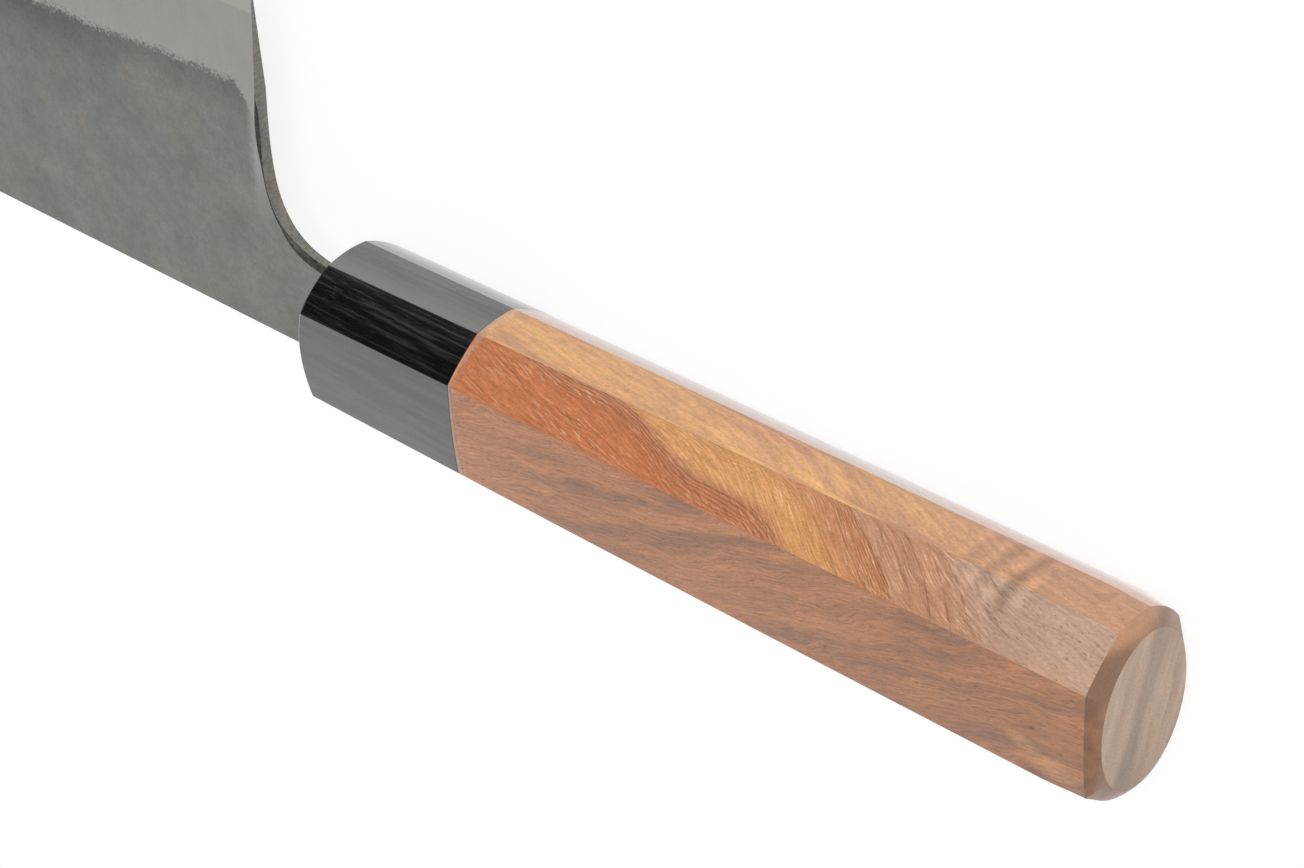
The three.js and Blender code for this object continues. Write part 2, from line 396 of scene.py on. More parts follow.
@dataclass(frozen=True)
class WoodRings:
    """The growth rings of the grip's block, nearly flat layers that drift through the handle.

    Attributes:
        width: Width of a ring, in millimetres.
        tilt_y: Share of Y in the direction across the rings.
        tilt_z: Share of Z in that direction.
        drift: How far the layers move for each millimetre along X.
        plunge: How much further they dive towards the butt.
        plunge_from: Where that dive starts.
        plunge_to: Where it ends.
        wander: Reach of their irregular waves.
        swing: Reach of their long even wave along X.
        swing_length: Length of that wave.
        swing_top: Where it is at its highest.
        phase: Where a ring begins.
        first: Number of the first ring whose strength is given.
        strengths: How plain the dark end of each ring is, from the ferrule to the butt, over and over.
    """

    width: float = 2.7
    tilt_y: float = 0.389
    tilt_z: float = 0.922
    drift: float = 0.118
    plunge: float = 7.0
    plunge_from: float = 82.0
    plunge_to: float = 114.0
    wander: float = 0.55
    swing: float = 0.45
    swing_length: float = 24.0
    swing_top: float = 64.5
    phase: float = 0.78
    first: int = -3
    strengths: tuple[float, ...] = (0.1, 0.15, 0.85, 0.2, 0.6, 0.3, 0.25, 0.15, 0.1)

    STOP_MARGIN = 0.01  # how far a ring's stop on the ramp is set before the ring's number

    def depth(self, graph: ShaderGraph) -> Socket:
        """Makes the depth through the layers, in millimetres, which grows towards the butt.

        Args:
            graph: The material.

        Returns:
            The depth's socket.
        """
        waves = graph.patches(30.0, 9.0, 9.0, 1.5)
        ripples = graph.patches(7.0, 2.5, 2.5)
        turn = graph.product(graph.less(graph.x, self.swing_top), 2 * math.pi / self.swing_length)
        return graph.total(
            graph.product(graph.x, self.drift),
            graph.step(graph.x, self.plunge_from, self.plunge_to, 0.0, self.plunge),
            graph.product(graph.y, -self.tilt_y),
            graph.product(graph.z, -self.tilt_z),
            graph.product(graph.math("COSINE", turn), self.swing),
            graph.swing(waves, self.wander),
            graph.swing(ripples, self.wander / 3),
        )

    def across(self, graph: ShaderGraph) -> Socket:
        """Makes the distance across the handle along a layer, in millimetres."""
        return graph.total(graph.product(graph.y, self.tilt_z), graph.product(graph.z, -self.tilt_y))

    def places(self, graph: ShaderGraph, depth: Socket) -> tuple[Socket, Socket, Socket]:
        """Tells where a depth is among the rings.

        Args:
            graph: The material.
            depth: Depth through the layers.

        Returns:
            The place in the cycle of rings, the place in the ring, and how plain the ring's dark end is.
        """
        share = 1 / len(self.strengths)
        turn = graph.math("MULTIPLY_ADD", depth, 1 / self.width, self.phase - self.first)
        ring = graph.math("FRACT", turn)
        number = graph.math("FRACT", graph.product(graph.math("FLOOR", turn), share))
        starts = [max(index * share - self.STOP_MARGIN, 0.0) for index in range(len(self.strengths))]
        stops = [(start, (strength,) * 3) for start, strength in zip(starts, self.strengths)]
        return graph.math("FRACT", graph.product(turn, share)), ring, graph.ramp(number, *stops)


@dataclass(frozen=True)
class Facets:
    """Where a point lies on the handle's flats, told from the surface's slope.

    Attributes:
        high: Share of the spine and edge flats.
        wide: Share of the side flats.
        slanted: Share of the chamfers between them.
        corner: Share of the corners between a chamfer and a flat.
        along: Distance along the handle, in millimetres.
        across: Distance across the flat, from a line along the fibres.
        out: Distance of the flat from the handle's axis.
    """

    DIVE_FROM = 62.0
    DIVE_TO = 112.0
    FLAT_FROM = 0.86  # part of the normal across a flat where it starts to count as one
    FLAT_TO = 0.96

    high: Socket
    wide: Socket
    slanted: Socket
    corner: Socket
    along: Socket
    across: Socket
    out: Socket

    @classmethod
    def under(cls, graph: ShaderGraph, slopes: Vector, dives: Vector, wander: float) -> "Facets":
        """Reads the facets at the shaded point.

        Args:
            graph: The material.
            slopes: How far the fibres run across edge flats, side flats and chamfers, for each millimetre.
            dives: How much further they have run across them near the butt, in millimetres.
            wander: Reach of the fibres' irregular waves on the side flats.

        Returns:
            The facets.
        """
        geometry = graph.nodes.new("ShaderNodeNewGeometry")
        split = graph.nodes.new("ShaderNodeSeparateXYZ")
        graph.plug(split.inputs["Vector"], geometry.outputs["Normal"])
        _, slope_y, slope_z = split.outputs
        high = graph.step(graph.math("ABSOLUTE", slope_y), cls.FLAT_FROM, cls.FLAT_TO)
        wide = graph.step(graph.math("ABSOLUTE", slope_z), cls.FLAT_FROM, cls.FLAT_TO)
        slanted = graph.inverse(graph.math("MAXIMUM", high, wide))
        corner = graph.product(graph.math("MAXIMUM", high, wide), slanted, 4.0)
        shares = (high, wide, slanted)
        run = graph.total(*(graph.product(share, slope) for share, slope in zip(shares, slopes)))
        dive = graph.total(*(graph.product(share, reach) for share, reach in zip(shares, dives)))
        dive = graph.product(dive, graph.step(graph.x, cls.DIVE_FROM, cls.DIVE_TO))
        across = graph.less(graph.product(graph.z, slope_y), graph.product(graph.y, slope_z))
        across = graph.less(across, graph.math("MULTIPLY_ADD", graph.x, run, dive))
        waves = graph.patches(14.0, 5.0, EVEN)
        across = graph.math("MULTIPLY_ADD", wide, graph.swing(waves, wander), across)
        out = graph.total(graph.product(graph.y, slope_y), graph.product(graph.z, slope_z))
        return cls(high, wide, slanted, corner, graph.x, across, out)

    def clouds(self, graph: ShaderGraph, length: float, width: float, detail: float) -> Socket:
        """Makes noise whose clouds are drawn out along the fibres.

        Args:
            graph: The material.
            length: Length of a cloud, in millimetres.
            width: Width of a cloud.
            detail: How many finer layers are added.

        Returns:
            The noise's socket.
        """
        along = graph.product(self.along, 1 / length)
        across = graph.product(self.across, 1 / width)
        return graph.noise(graph.vector(along, across, self.out), 1.0, detail, 0.6)


@dataclass(frozen=True)
class Spot:
    """A soft ragged spot of the blemish on the grip's right side.

    Attributes:
        x: Its middle along X, in millimetres.
        y: Its middle along Y.
        half_length: How far it reaches along X.
        half_width: How far it reaches along Y.
        share: How plain it is.
        colour: Its colour.
    """

    x: float
    y: float
    half_length: float
    half_width: float
    share: float
    colour: Colour

    def lay(self, graph: ShaderGraph, under: Socket) -> Socket:
        """Lays the spot over a colour.

        Args:
            graph: The material.
            under: The colour.

        Returns:
            The colour's socket.
        """
        ragged = graph.swing(graph.noise(graph.point, 1.6, 3.0), 0.6)
        along = graph.product(graph.less(graph.x, self.x), 1 / self.half_length)
        beside = graph.product(graph.less(graph.y, self.y), 1 / self.half_width)
        away = graph.math("SQRT", graph.total(graph.product(along, along), graph.product(beside, beside)))
        near = graph.step(graph.total(away, ragged), 1.2, 0.2, 0.0, self.share)
        return graph.blend(graph.product(near, graph.step(graph.z, 5.0, 8.0)), under, self.colour)


@dataclass(frozen=True)
class GripWood(Finish):
    """Smooth oiled wood on the grip's sides, red brown with honey, tan and rose streaks.

    Attributes:
        rings: The block's growth rings.
        heart: Colour of the red-brown heartwood on the chamfers, up to the plainest ring.
        russet: Colour of the heartwood just before that ring ends.
        honey: Colour of the golden wood behind it.
        amber: Colour of the wood further back.
        sorrel: Colour behind the next plain ring.
        rose: Colour that the chamfers fade to at the butt.
        late: Colour of the dark wood that a ring ends with.
        tan: Colour of the spine and edge flats.
        blush: Colour of their pink streaks.
        gold: Colour of their yellow streaks.
        umber: Colour of the side flats.
        smoke: Colour of their dark streaks.
        clay: Colour of their light streaks.
        fleck: Colour of the light flecks.
        line_spacing: Spacing of the fine lines in the late wood, in millimetres.
        fibre_slopes: How far the fibres run across edge flats, side flats and chamfers, for each millimetre.
        fibre_dives: How much further they have run across them near the butt, in millimetres.
        fibre_wander: Reach of the fibres' irregular waves on the side flats.
        rim_from: Where the pale rim at the ferrule starts to fade, along X.
        rim_to: Where it has faded out.
        rim_light: How much lighter the rim is.
        curl_middle: Middle of the curl, along X.
        curl_crest: One of its light bands, along X.
        curl_length: Length from one light band to the next.
    """

    name = "grip_wood"
    rings: WoodRings = WoodRings()
    heart: Colour = (0.57, 0.20, 0.082)
    russet: Colour = (0.56, 0.24, 0.128)
    honey: Colour = (0.70, 0.345, 0.135)
    amber: Colour = (0.57, 0.255, 0.125)
    sorrel: Colour = (0.53, 0.275, 0.16)
    rose: Colour = (0.50, 0.325, 0.24)
    late: Colour = (0.22, 0.075, 0.037)
    tan: Colour = (0.66, 0.33, 0.15)
    blush: Colour = (0.50, 0.264, 0.154)
    gold: Colour = (0.77, 0.413, 0.158)
    umber: Colour = (0.43, 0.184, 0.086)
    smoke: Colour = (0.318, 0.15, 0.084)
    clay: Colour = (0.513, 0.22, 0.10)
    fleck: Colour = (0.88, 0.54, 0.34)
    line_spacing: float = 0.2
    fibre_slopes: Vector = Vector((0.07, -0.22, 0.15)).freeze()
    fibre_dives: Vector = Vector((3.0, -4.0, 12.0)).freeze()
    fibre_wander: float = 1.6
    rim_from: float = 27.2
    rim_to: float = 27.5
    rim_light: float = 1.22
    curl_middle: float = 108.5
    curl_crest: float = 110.2
    curl_length: float = 3.6

    def paint(self, graph: ShaderGraph) -> None:
        """Paints facets, rings, fine lines, flecks, pores and fibres, and painted shade along the corners
        between chamfers and flats.

        Args:
            graph: The material.
        """
        depth = self.rings.depth(graph)
        facets = Facets.under(graph, self.fibre_slopes, self.fibre_dives, self.fibre_wander)
        colour = self.chamfers(graph, depth)
        colour = graph.blend(facets.high, colour, self.edge_flats(graph, facets))
        colour = graph.shade(colour, graph.total(1.0, self.curl(graph)))
        colour = graph.blend(facets.wide, colour, self.side_flats(graph, facets))
        colour = graph.blend(self.flecks(graph, facets), colour, self.fleck)
        pores = graph.step(facets.clouds(graph, 1.3, 0.2, 1.0), 0.37, 0.29)
        near_butt = graph.product(facets.slanted, graph.step(graph.x, 96.0, 112.0, 0.0, 0.26))
        porous = graph.total(graph.product(facets.wide, 0.3), near_butt, 0.06)
        colour = graph.shade(colour, graph.inverse(graph.product(pores, porous)))
        fibres = facets.clouds(graph, 3.2, 0.22, 3.0)
        grain = graph.patches(0.5, 0.22, 0.22, 2.0, 0.6)
        fainter = graph.product(facets.slanted, graph.step(graph.x, 104.0, 118.0, 0.0, -0.25))
        reach = graph.total(graph.product(facets.high, -0.12), graph.product(facets.wide, 0.1), fainter, 0.57)
        tone = graph.total(1.0, graph.product(graph.swing(fibres, 1.0), reach), graph.swing(grain, 0.32))
        # painted shade: the corners between chamfers and flats are darker
        tone = graph.product(tone, graph.inverse(graph.product(facets.corner, 0.3)))
        tone = graph.product(tone, graph.step(graph.x, self.rim_from, self.rim_to, self.rim_light, 1.0))
        colour = graph.shade(colour, tone)
        graph.finish(base_color=colour, roughness=graph.total(0.35, graph.swing(fibres, 0.08)))
        graph.finish(coat_weight=1.0, coat_roughness=0.11, coat_ior=1.55)
        graph.finish(specular_ior_level=graph.product(facets.slanted, 0.5))
        graph.relief(graph.less(fibres, graph.product(pores, 0.6)), 0.012, 0.5)

    def flecks(self, graph: ShaderGraph, facets: Facets) -> Socket:
        """Makes the short light flecks, which lie in groups on the chamfers and thin out at the butt.

        Args:
            graph: The material.
            facets: Where the point is.

        Returns:
            Share of the flecks.
        """
        dashes = graph.step(facets.clouds(graph, 1.9, 0.15, 1.0), 0.53, 0.67)
        groups = graph.patches(9.0, 3.0, 3.0, 1.0)
        groups = graph.step(groups, 0.42, 0.62, 0.25, 1.0)
        plain = graph.math("MULTIPLY_ADD", facets.slanted, 0.45, 0.05)
        start = graph.step(graph.x, 28.0, 46.0, 0.35, 1.0)
        end = graph.step(graph.x, 117.0, 107.0, 0.25, 1.0)
        return graph.product(dashes, groups, plain, start, end)

    def chamfers(self, graph: ShaderGraph, depth: Socket) -> Socket:
        """Makes the chamfers' colour: zones of heartwood, gold and rose, and rings that end in dark lines.

        Args:
            graph: The material.
            depth: Depth through the layers.

        Returns:
            The colour's socket.
        """
        cycle, ring, strength = self.rings.places(graph, depth)
        colour = graph.ramp(
            cycle,
            (0.0, self.heart),
            (0.27, self.heart),
            (0.33, self.russet),
            (0.336, self.amber),
            (0.36, self.honey),
            (0.42, self.honey),
            (0.465, self.amber),
            (0.553, self.amber),
            (0.558, self.sorrel),
            (0.72, self.sorrel),
            (0.84, self.rose),
            (1.0, self.rose),
        )
        ended = graph.step(ring, 0.985, 1.0, 1.0, 0.0)
        shade = graph.product(graph.step(ring, 0.3, 0.98), ended, strength, 0.12)
        wobble = graph.patches(6.0, 1.5, 1.5)
        turn = graph.total(graph.math("DIVIDE", depth, self.line_spacing), graph.swing(wobble, 1.1))
        line = graph.step(graph.math("PINGPONG", turn, 0.5), 0.2, 0.44)
        lines = graph.product(line, graph.step(ring, 0.2, 0.75, 0.08, 0.66), ended, strength)
        half = graph.math("FRACT", graph.product(ring, 2.0))
        seam = graph.product(graph.step(half, 0.78, 0.95), graph.step(half, 0.96, 1.0, 1.0, 0.0))
        start = graph.step(graph.x, 82.0, 92.0, 0.08, 0.45)
        end = graph.step(graph.x, 116.0, 107.0, 0.15, 1.0)
        seams = graph.product(seam, start, end, graph.step(wobble, 0.35, 0.6, 0.35, 1.0))
        colour = graph.blend(graph.total(shade, lines, seams), colour, self.late)
        return graph.shade(colour, graph.step(graph.x, 114.0, 122.0, 1.0, 1.12))

    def edge_flats(self, graph: ShaderGraph, facets: Facets) -> Socket:
        """Makes the colour of the spine and edge flats, with gold and pink streaks.

        Args:
            graph: The material.
            facets: Where the point is.

        Returns:
            The colour's socket.
        """
        broad = facets.clouds(graph, 32.0, 1.7, 3.0)
        colour = graph.ramp(broad, (0.38, self.blush), (0.5, self.tan), (0.62, self.gold))
        beside = graph.gap(graph.z, 1.0)
        span = graph.product(graph.step(graph.x, 34.0, 48.0), graph.step(graph.x, 84.0, 66.0))
        gold = graph.product(graph.step(beside, 2.4, 0.3), span, 0.4)
        colour = graph.blend(gold, colour, self.gold)
        return graph.blend(graph.step(graph.x, 84.0, 110.0, 0.0, 0.8), colour, self.blush)

    def curl(self, graph: ShaderGraph) -> Socket:
        """Makes the curl, light and dark bands across the edge flat near the butt.

        Args:
            graph: The material.

        Returns:
            How much lighter or darker the wood is, round zero.
        """
        along = graph.math("MULTIPLY_ADD", graph.z, 0.15, graph.x)
        turn = graph.product(graph.less(along, self.curl_crest), 2 * math.pi / self.curl_length)
        point = graph.vector(graph.product(along, 1 / 2.4), graph.product(graph.z, 1 / 3.5), 0.0)
        uneven = graph.swing(graph.noise(point, 1.0, 1.0), 0.4)
        bands = graph.math("MULTIPLY_ADD", graph.math("COSINE", turn), 0.17, uneven)
        away = graph.gap(graph.x, self.curl_middle)
        return graph.product(bands, graph.step(away, 2.5, 8.0, 1.0, 0.0), graph.step(graph.y, 9.0, 12.5))

    def side_flats(self, graph: ShaderGraph, facets: Facets) -> Socket:
        """Makes the side flats' colour, brown with smoky streaks and a small blemish near the butt.

        Args:
            graph: The material.
            facets: Where the point is.

        Returns:
            The colour's socket.
        """
        streaks = facets.clouds(graph, 20.0, 2.6, 4.0)
        colour = graph.ramp(streaks, (0.36, self.smoke), (0.5, self.umber), (0.62, self.clay))
        colour = graph.blend(graph.step(graph.x, 50.0, 28.0, 0.0, 0.5), colour, self.clay)
        colour = graph.shade(colour, graph.step(graph.x, 80.0, 105.0, 1.0, 0.93))
        for spot in (
            Spot(117.0, -3.2, 2.6, 1.3, 0.5, self.tan),
            Spot(121.2, -5.4, 4.6, 1.8, 0.6, self.tan),
            Spot(113.4, -5.4, 3.6, 2.4, 0.7, self.smoke),
            Spot(119.0, -7.5, 2.4, 0.9, 0.7, self.late),
        ):
            colour = spot.lay(graph, colour)
        return colour


@dataclass(frozen=True)
class EndGrain(Finish):
    """End grain on the butt's face, in bands of grey, tan and straw with fine specks.

    Attributes:
        tan: Colour of most of the face.
        pale: Colour of its light bands.
        grey: Colour of the dark band across its middle.
        straw: Colour of the yellow band beside it.
        grey_depth: Depth of the dark band through the layers, in millimetres.
        straw_depth: Depth of the yellow band.
        rings: The block's growth rings.
    """

    name = "end_grain"
    tan: Colour = (0.445, 0.297, 0.212)
    pale: Colour = (0.55, 0.40, 0.296)
    grey: Colour = (0.275, 0.208, 0.159)
    straw: Colour = (0.53, 0.37, 0.234)
    grey_depth: float = 21.2
    straw_depth: float = 26.0
    rings: WoodRings = WoodRings()

    def paint(self, graph: ShaderGraph) -> None:
        """Paints bands and specks.

        Args:
            graph: The material.
        """
        sway = graph.patches(EVEN, 5.0, 5.0)
        depth = graph.total(self.rings.depth(graph), graph.swing(sway, 1.0))
        across = self.rings.across(graph)
        broad = graph.vector(graph.product(depth, 1 / 2.6), graph.product(across, 1 / 16), 0.0)
        fine = graph.vector(graph.product(depth, 1 / 0.7), graph.product(across, 1 / 8), 3.0)
        colour = graph.ramp(graph.noise(broad), (0.35, self.tan), (0.65, self.pale))
        colour = graph.blend(self.band(graph, depth, self.grey_depth, 2.8, 0.62), colour, self.grey)
        colour = graph.blend(self.band(graph, depth, self.straw_depth, 0.9, 0.7), colour, self.straw)
        banded = graph.step(depth, 18.0, 24.0, 0.1, 0.24)
        specks = graph.patches(2.0, 0.16, 0.16, 2.0, 0.7)
        fine_bands = graph.product(graph.swing(graph.noise(fine), 1.0), banded)
        tone = graph.total(1.0, fine_bands, graph.swing(specks, 0.55))
        tone = graph.product(tone, graph.step(graph.y, 1.0, -9.0, 1.0, 0.86))
        graph.finish(base_color=graph.shade(colour, tone), roughness=0.5)
        graph.relief(specks, 0.02, 0.5)

    def band(self, graph: ShaderGraph, depth: Socket, middle: float, reach: float, strength: float) -> Socket:
        """Makes a soft band round one depth, which fades out within its reach to either side."""
        away = graph.gap(depth, middle)
        return graph.step(away, 0.15 * reach, reach, strength, 0.0)


@dataclass(frozen=True)
class BevelWood(Finish):
    """The butt's bevel, where the wood is cut half across and looks darker.

    Attributes:
        brown: Colour of the wood.
        dark: Colour of its pores and streaks.
        tawny: Colour of the wood on the edge's side.
    """

    name = "bevel_wood"
    brown: Colour = (0.305, 0.15, 0.08)
    dark: Colour = (0.216, 0.107, 0.06)
    tawny: Colour = (0.45, 0.228, 0.118)

    def paint(self, graph: ShaderGraph) -> None:
        """Paints soft streaks and specks.

        Args:
            graph: The material.
        """
        streaks = graph.patches(3.0, 2.2, 1.4, 3.0)
        specks = graph.patches(0.9, 0.25, 0.25, 2.0, 0.6)
        colour = graph.ramp(streaks, (0.35, self.dark), (0.6, self.brown))
        chamfered = graph.step(graph.total(graph.y, graph.z), 12.5, 14.5)
        colour = graph.blend(chamfered, colour, self.dark)
        colour = graph.blend(graph.step(graph.y, 10.6, 12.4), colour, self.tawny)
        colour = graph.shade(colour, graph.total(1.0, graph.swing(specks, 0.25)))
        graph.finish(base_color=colour, roughness=0.42, coat_weight=0.4, coat_roughness=0.25)
        graph.relief(specks, 0.015, 0.4)


@dataclass(frozen=True)
class FerruleWood(Finish):
    """Dense black wood with a satin polish and fine lengthwise lines.

    Attributes:
        black: Colour of the wood.
        grey: Colour of the fine lines.
        painted_sheen: Grey painted on the flats as a sheen, in clouds and towards the right side.
    """

    name = "ferrule_wood"
    black: Colour = (0.002, 0.002, 0.0017)
    grey: Colour = (0.04, 0.04, 0.036)
    painted_sheen: Colour = (0.13, 0.126, 0.121)

    def paint(self, graph: ShaderGraph) -> None:
        """Paints fine lines along the handle, a painted sheen on the flats, and painted shade where the lines
        fade on the right side.

        Args:
            graph: The material.
        """
        facets = Facets.under(graph, Vector(), Vector(), 0.0)
        lines = facets.clouds(graph, 14.0, 0.3, 3.0)
        dashes = facets.clouds(graph, 2.4, 0.15, 1.0)
        share = graph.total(graph.step(dashes, 0.58, 0.72, 0.0, 0.5), graph.step(lines, 0.5, 0.66, 0.0, 0.8))
        # painted shade: the light lines are half as strong on the right side
        share = graph.product(share, graph.step(graph.z, 5.5, 9.0, 1.0, 0.5))
        colour = graph.ramp(share, (0.0, self.black), (1.0, self.grey))
        # painted sheen: lighter grey in clouds on the flats, and on the spine and edge flats towards the
        # right side
        clouds = graph.step(facets.clouds(graph, 11.0, 1.1, 3.0), 0.4, 0.65, 0.0, 0.22)
        colour = graph.blend(graph.product(clouds, graph.inverse(facets.slanted)), colour, self.painted_sheen)
        right_side_sheen = graph.step(graph.z, -1.5, 3.6, 0.0, 0.8)
        colour = graph.blend(graph.product(facets.high, right_side_sheen), colour, self.painted_sheen)
        roughness = graph.total(0.4, graph.swing(lines, 0.1))
        graph.finish(base_color=colour, roughness=roughness, ior=1.25)
        graph.finish(coat_weight=1.0, coat_roughness=0.15, coat_ior=1.95)
        graph.relief(graph.total(lines, graph.product(dashes, 0.5)), 0.012, 0.4)


@dataclass(frozen=True)
class ForgedIron(Finish):
    """Soft iron: forge scale on the cheek, then a satin ground bevel above a ragged line.

    Attributes:
        scale_dark: Darker colour of the scale.
        scale_light: Lighter colour of the scale.
        ground: Colour of the ground bevel.
        line: Height of the line between them, in millimetres along Y.
        line_tilt: How far the line climbs from its middle towards the heel.
        heel_slope: How far the heel moves along X for each millimetre of Y.
        heel_start: Where the heel's line meets the handle's axis, along X.
        heel_dip: How sharply the line drops along the heel.
        heel_dip_from: Where that drop starts, along X.
        heel_dip_reach: How far it goes on, along X.
        edge_rise: How far the edge curves up at the tip.
        edge_rise_from: Where the edge starts to curve, along X.
        edge_rise_length: Length of the stretch that curves.
    """

    name = "forged_iron"
    scale_dark: Colour = (0.19, 0.198, 0.187)
    scale_light: Colour = (0.258, 0.253, 0.234)
    ground: Colour = (0.345, 0.345, 0.321)
    line: float = 31.1
    line_tilt: float = 1.2
    heel_slope: float = 0.0881
    heel_start: float = -15.39
    heel_dip: float = 0.6
    heel_dip_from: float = -16.6
    heel_dip_reach: float = 3.5
    edge_rise: float = 2.5
    edge_rise_from: float = -116.2
    edge_rise_length: float = 60.0

    def paint(self, graph: ShaderGraph) -> None:
        """Paints the scale, the bevel and the ragged line between them, with painted shadow on the scale
        below the line, deeper towards the tip, and a painted highlight on the bevel just above the line.

        Args:
            graph: The material.
        """
        above = self.above_line(graph)
        ground = graph.math("MAXIMUM", graph.step(above, -0.9, 0.9), self.heel_strip(graph))
        scale, grain = self.scale(graph)
        # painted shadow: the scale is darker in a band below the line and, towards the tip, further below it
        shadow = graph.step(above, -7.5, -1.5, 0.0, 0.16)
        line_shadow = graph.step(above, -2.6, -0.6, 0.0, 0.14)
        corner = graph.product(graph.step(above, -15.0, -3.0), graph.step(graph.x, -34.0, -54.0, 0.0, 0.14))
        scale = graph.shade(scale, graph.inverse(graph.total(shadow, line_shadow, corner)))
        brush = graph.patches(0.22, 7.0, 1.0)
        clouds = graph.noise(graph.point, 7.0, 5.0, 0.6)
        tone = graph.total(1.0, graph.swing(brush, 0.06), graph.swing(clouds, 0.14))
        # painted highlight: the bevel is lighter just above the line
        tone = graph.total(tone, graph.step(above, 1.6, 0.2, 0.0, 0.09))
        bevel = graph.shade(self.ground, tone)
        graph.finish(
            base_color=graph.blend(ground, scale, bevel),
            metallic=graph.math("MULTIPLY_ADD", ground, 0.2, 0.78),
            roughness=graph.total(0.46, graph.swing(grain, 0.1), graph.product(ground, -0.1)),
        )
        height = graph.blend(ground, graph.vector(grain, grain, grain), graph.vector(brush, brush, brush))
        graph.relief(height, 0.02, 0.35)

    def above_line(self, graph: ShaderGraph) -> Socket:
        """Makes the height above the ragged line, in millimetres.

        Args:
            graph: The material.

        Returns:
            The height's socket.
        """
        along = graph.less(self.edge_rise_from, graph.x)
        curve = graph.math("POWER", graph.math("MAXIMUM", along, 0.0), 2.0)
        rise = graph.product(curve, self.edge_rise / self.edge_rise_length**2)
        tilt = graph.step(graph.x, -60.0, -17.0, -0.4 * self.line_tilt, self.line_tilt)
        drop = graph.math("MAXIMUM", graph.less(graph.x, self.heel_dip_from), 0.0)
        drop = graph.math("MINIMUM", drop, self.heel_dip_reach)
        dip = graph.product(graph.math("POWER", drop, 2.0), self.heel_dip)
        sway = graph.patches(5.0, 5.0, EVEN)
        lumps = graph.patches(1.5, 1.5, EVEN)
        rags = graph.patches(0.45, 0.45, EVEN, 3.0, 0.7)
        ragged = graph.total(graph.swing(sway, 0.7), graph.swing(lumps, 0.9), graph.swing(rags, 2.8))
        return graph.total(graph.y, -self.line, rise, graph.product(tilt, -1.0), dip, ragged)

    def heel_strip(self, graph: ShaderGraph) -> Socket:
        """Makes the bright strip that the grinding leaves along the heel.

        Args:
            graph: The material.

        Returns:
            Share of the strip.
        """
        heel = graph.math("MULTIPLY_ADD", graph.y, self.heel_slope, self.heel_start)
        inside = graph.less(heel, graph.x)
        rags = graph.patches(0.4, 0.8, EVEN, 4.0, 0.75)
        near = graph.step(graph.total(inside, graph.swing(rags, 1.4)), 0.6, 2.4, 1.0, 0.0)
        return graph.product(near, graph.step(graph.y, 9.0, 20.0), 0.75)

    def scale(self, graph: ShaderGraph) -> tuple[Socket, Socket]:
        """Makes the scale's mottled colour, and its grain.

        Args:
            graph: The material.

        Returns:
            The colour's socket and the grain's.
        """
        clouds = graph.noise(graph.point, 8.0, 4.0, 0.6)
        tints = graph.noise(graph.stretch(graph.point, 1.0, 1.0, 3.0), 7.0, 2.0)
        colour = graph.ramp(clouds, (0.3, self.scale_dark), (0.7, self.scale_light))
        tint = graph.ramp(
            tints, (0.3, (0.965, 1.0, 1.02)), (0.5, (1.0, 1.01, 0.99)), (0.7, (1.03, 1.0, 0.96))
        )
        colour = graph.blend(1.0, colour, tint, "MULTIPLY")
        grain = graph.noise(graph.point, 0.42, 3.0, 0.65)
        blotches = graph.noise(graph.point, 1.6, 3.0, 0.6)
        specks = graph.step(graph.noise(graph.point, 0.7, 2.0), 0.66, 0.76, 0.0, 0.16)
        colour = graph.shade(colour, graph.inverse(specks))
        tone = graph.total(1.0, graph.swing(grain, 0.34), graph.swing(blotches, 0.2))
        return graph.shade(colour, tone), grain


@dataclass(frozen=True)
class HeatTint(Finish):
    """Bare sides of the blade, tinted green, pink and blue by the forge's heat.

    Attributes:
        green: Colour of the green patches.
        pink: Colour of the pink patches.
        blue: Colour of the blue patches.
    """

    name = "heat_tint"
    green: Colour = (0.205, 0.21, 0.178)
    pink: Colour = (0.25, 0.215, 0.195)
    blue: Colour = (0.18, 0.195, 0.205)

    def paint(self, graph: ShaderGraph) -> None:
        """Paints patches of heat colour and a rough grain.

        Args:
            graph: The material.
        """
        patches = graph.noise(graph.point, 4.0, 3.0, 0.6)
        colour = graph.ramp(patches, (0.34, self.pink), (0.5, self.green), (0.66, self.blue))
        grain = graph.noise(graph.stretch(graph.point, 1.0, 1.0, 0.5), 0.4, 4.0, 0.7)
        colour = graph.shade(colour, graph.total(1.0, graph.swing(grain, 0.9)))
        graph.finish(base_color=colour, metallic=0.75)
        graph.finish(roughness=graph.total(0.5, graph.swing(grain, 0.15)))
        graph.relief(grain, 0.04, 0.5)


@dataclass(frozen=True)
class DarkReflectionEdge(Finish):
    """The eased edge of the cheeks, painted near-black to stand for the dark surroundings that it mirrors.

    Attributes:
        black: Colour of most of it.
        brown: Colour of its lighter blotches.
    """

    name = "dark_reflection_edge"
    black: Colour = (0.03, 0.03, 0.026)
    brown: Colour = (0.10, 0.095, 0.08)

    def paint(self, graph: ShaderGraph) -> None:
        """Paints blotches and a rough grain.

        Args:
            graph: The material.
        """
        grain = graph.noise(graph.point, 0.5, 3.0, 0.65)
        # painted reflection: near-black colour in place of the dark surroundings that the eased edge mirrors
        graph.finish(base_color=graph.ramp(grain, (0.4, self.black), (0.7, self.brown)))
        graph.finish(metallic=0.3, roughness=graph.total(0.6, graph.swing(grain, 0.1)))
        graph.relief(grain, 0.03, 0.4)


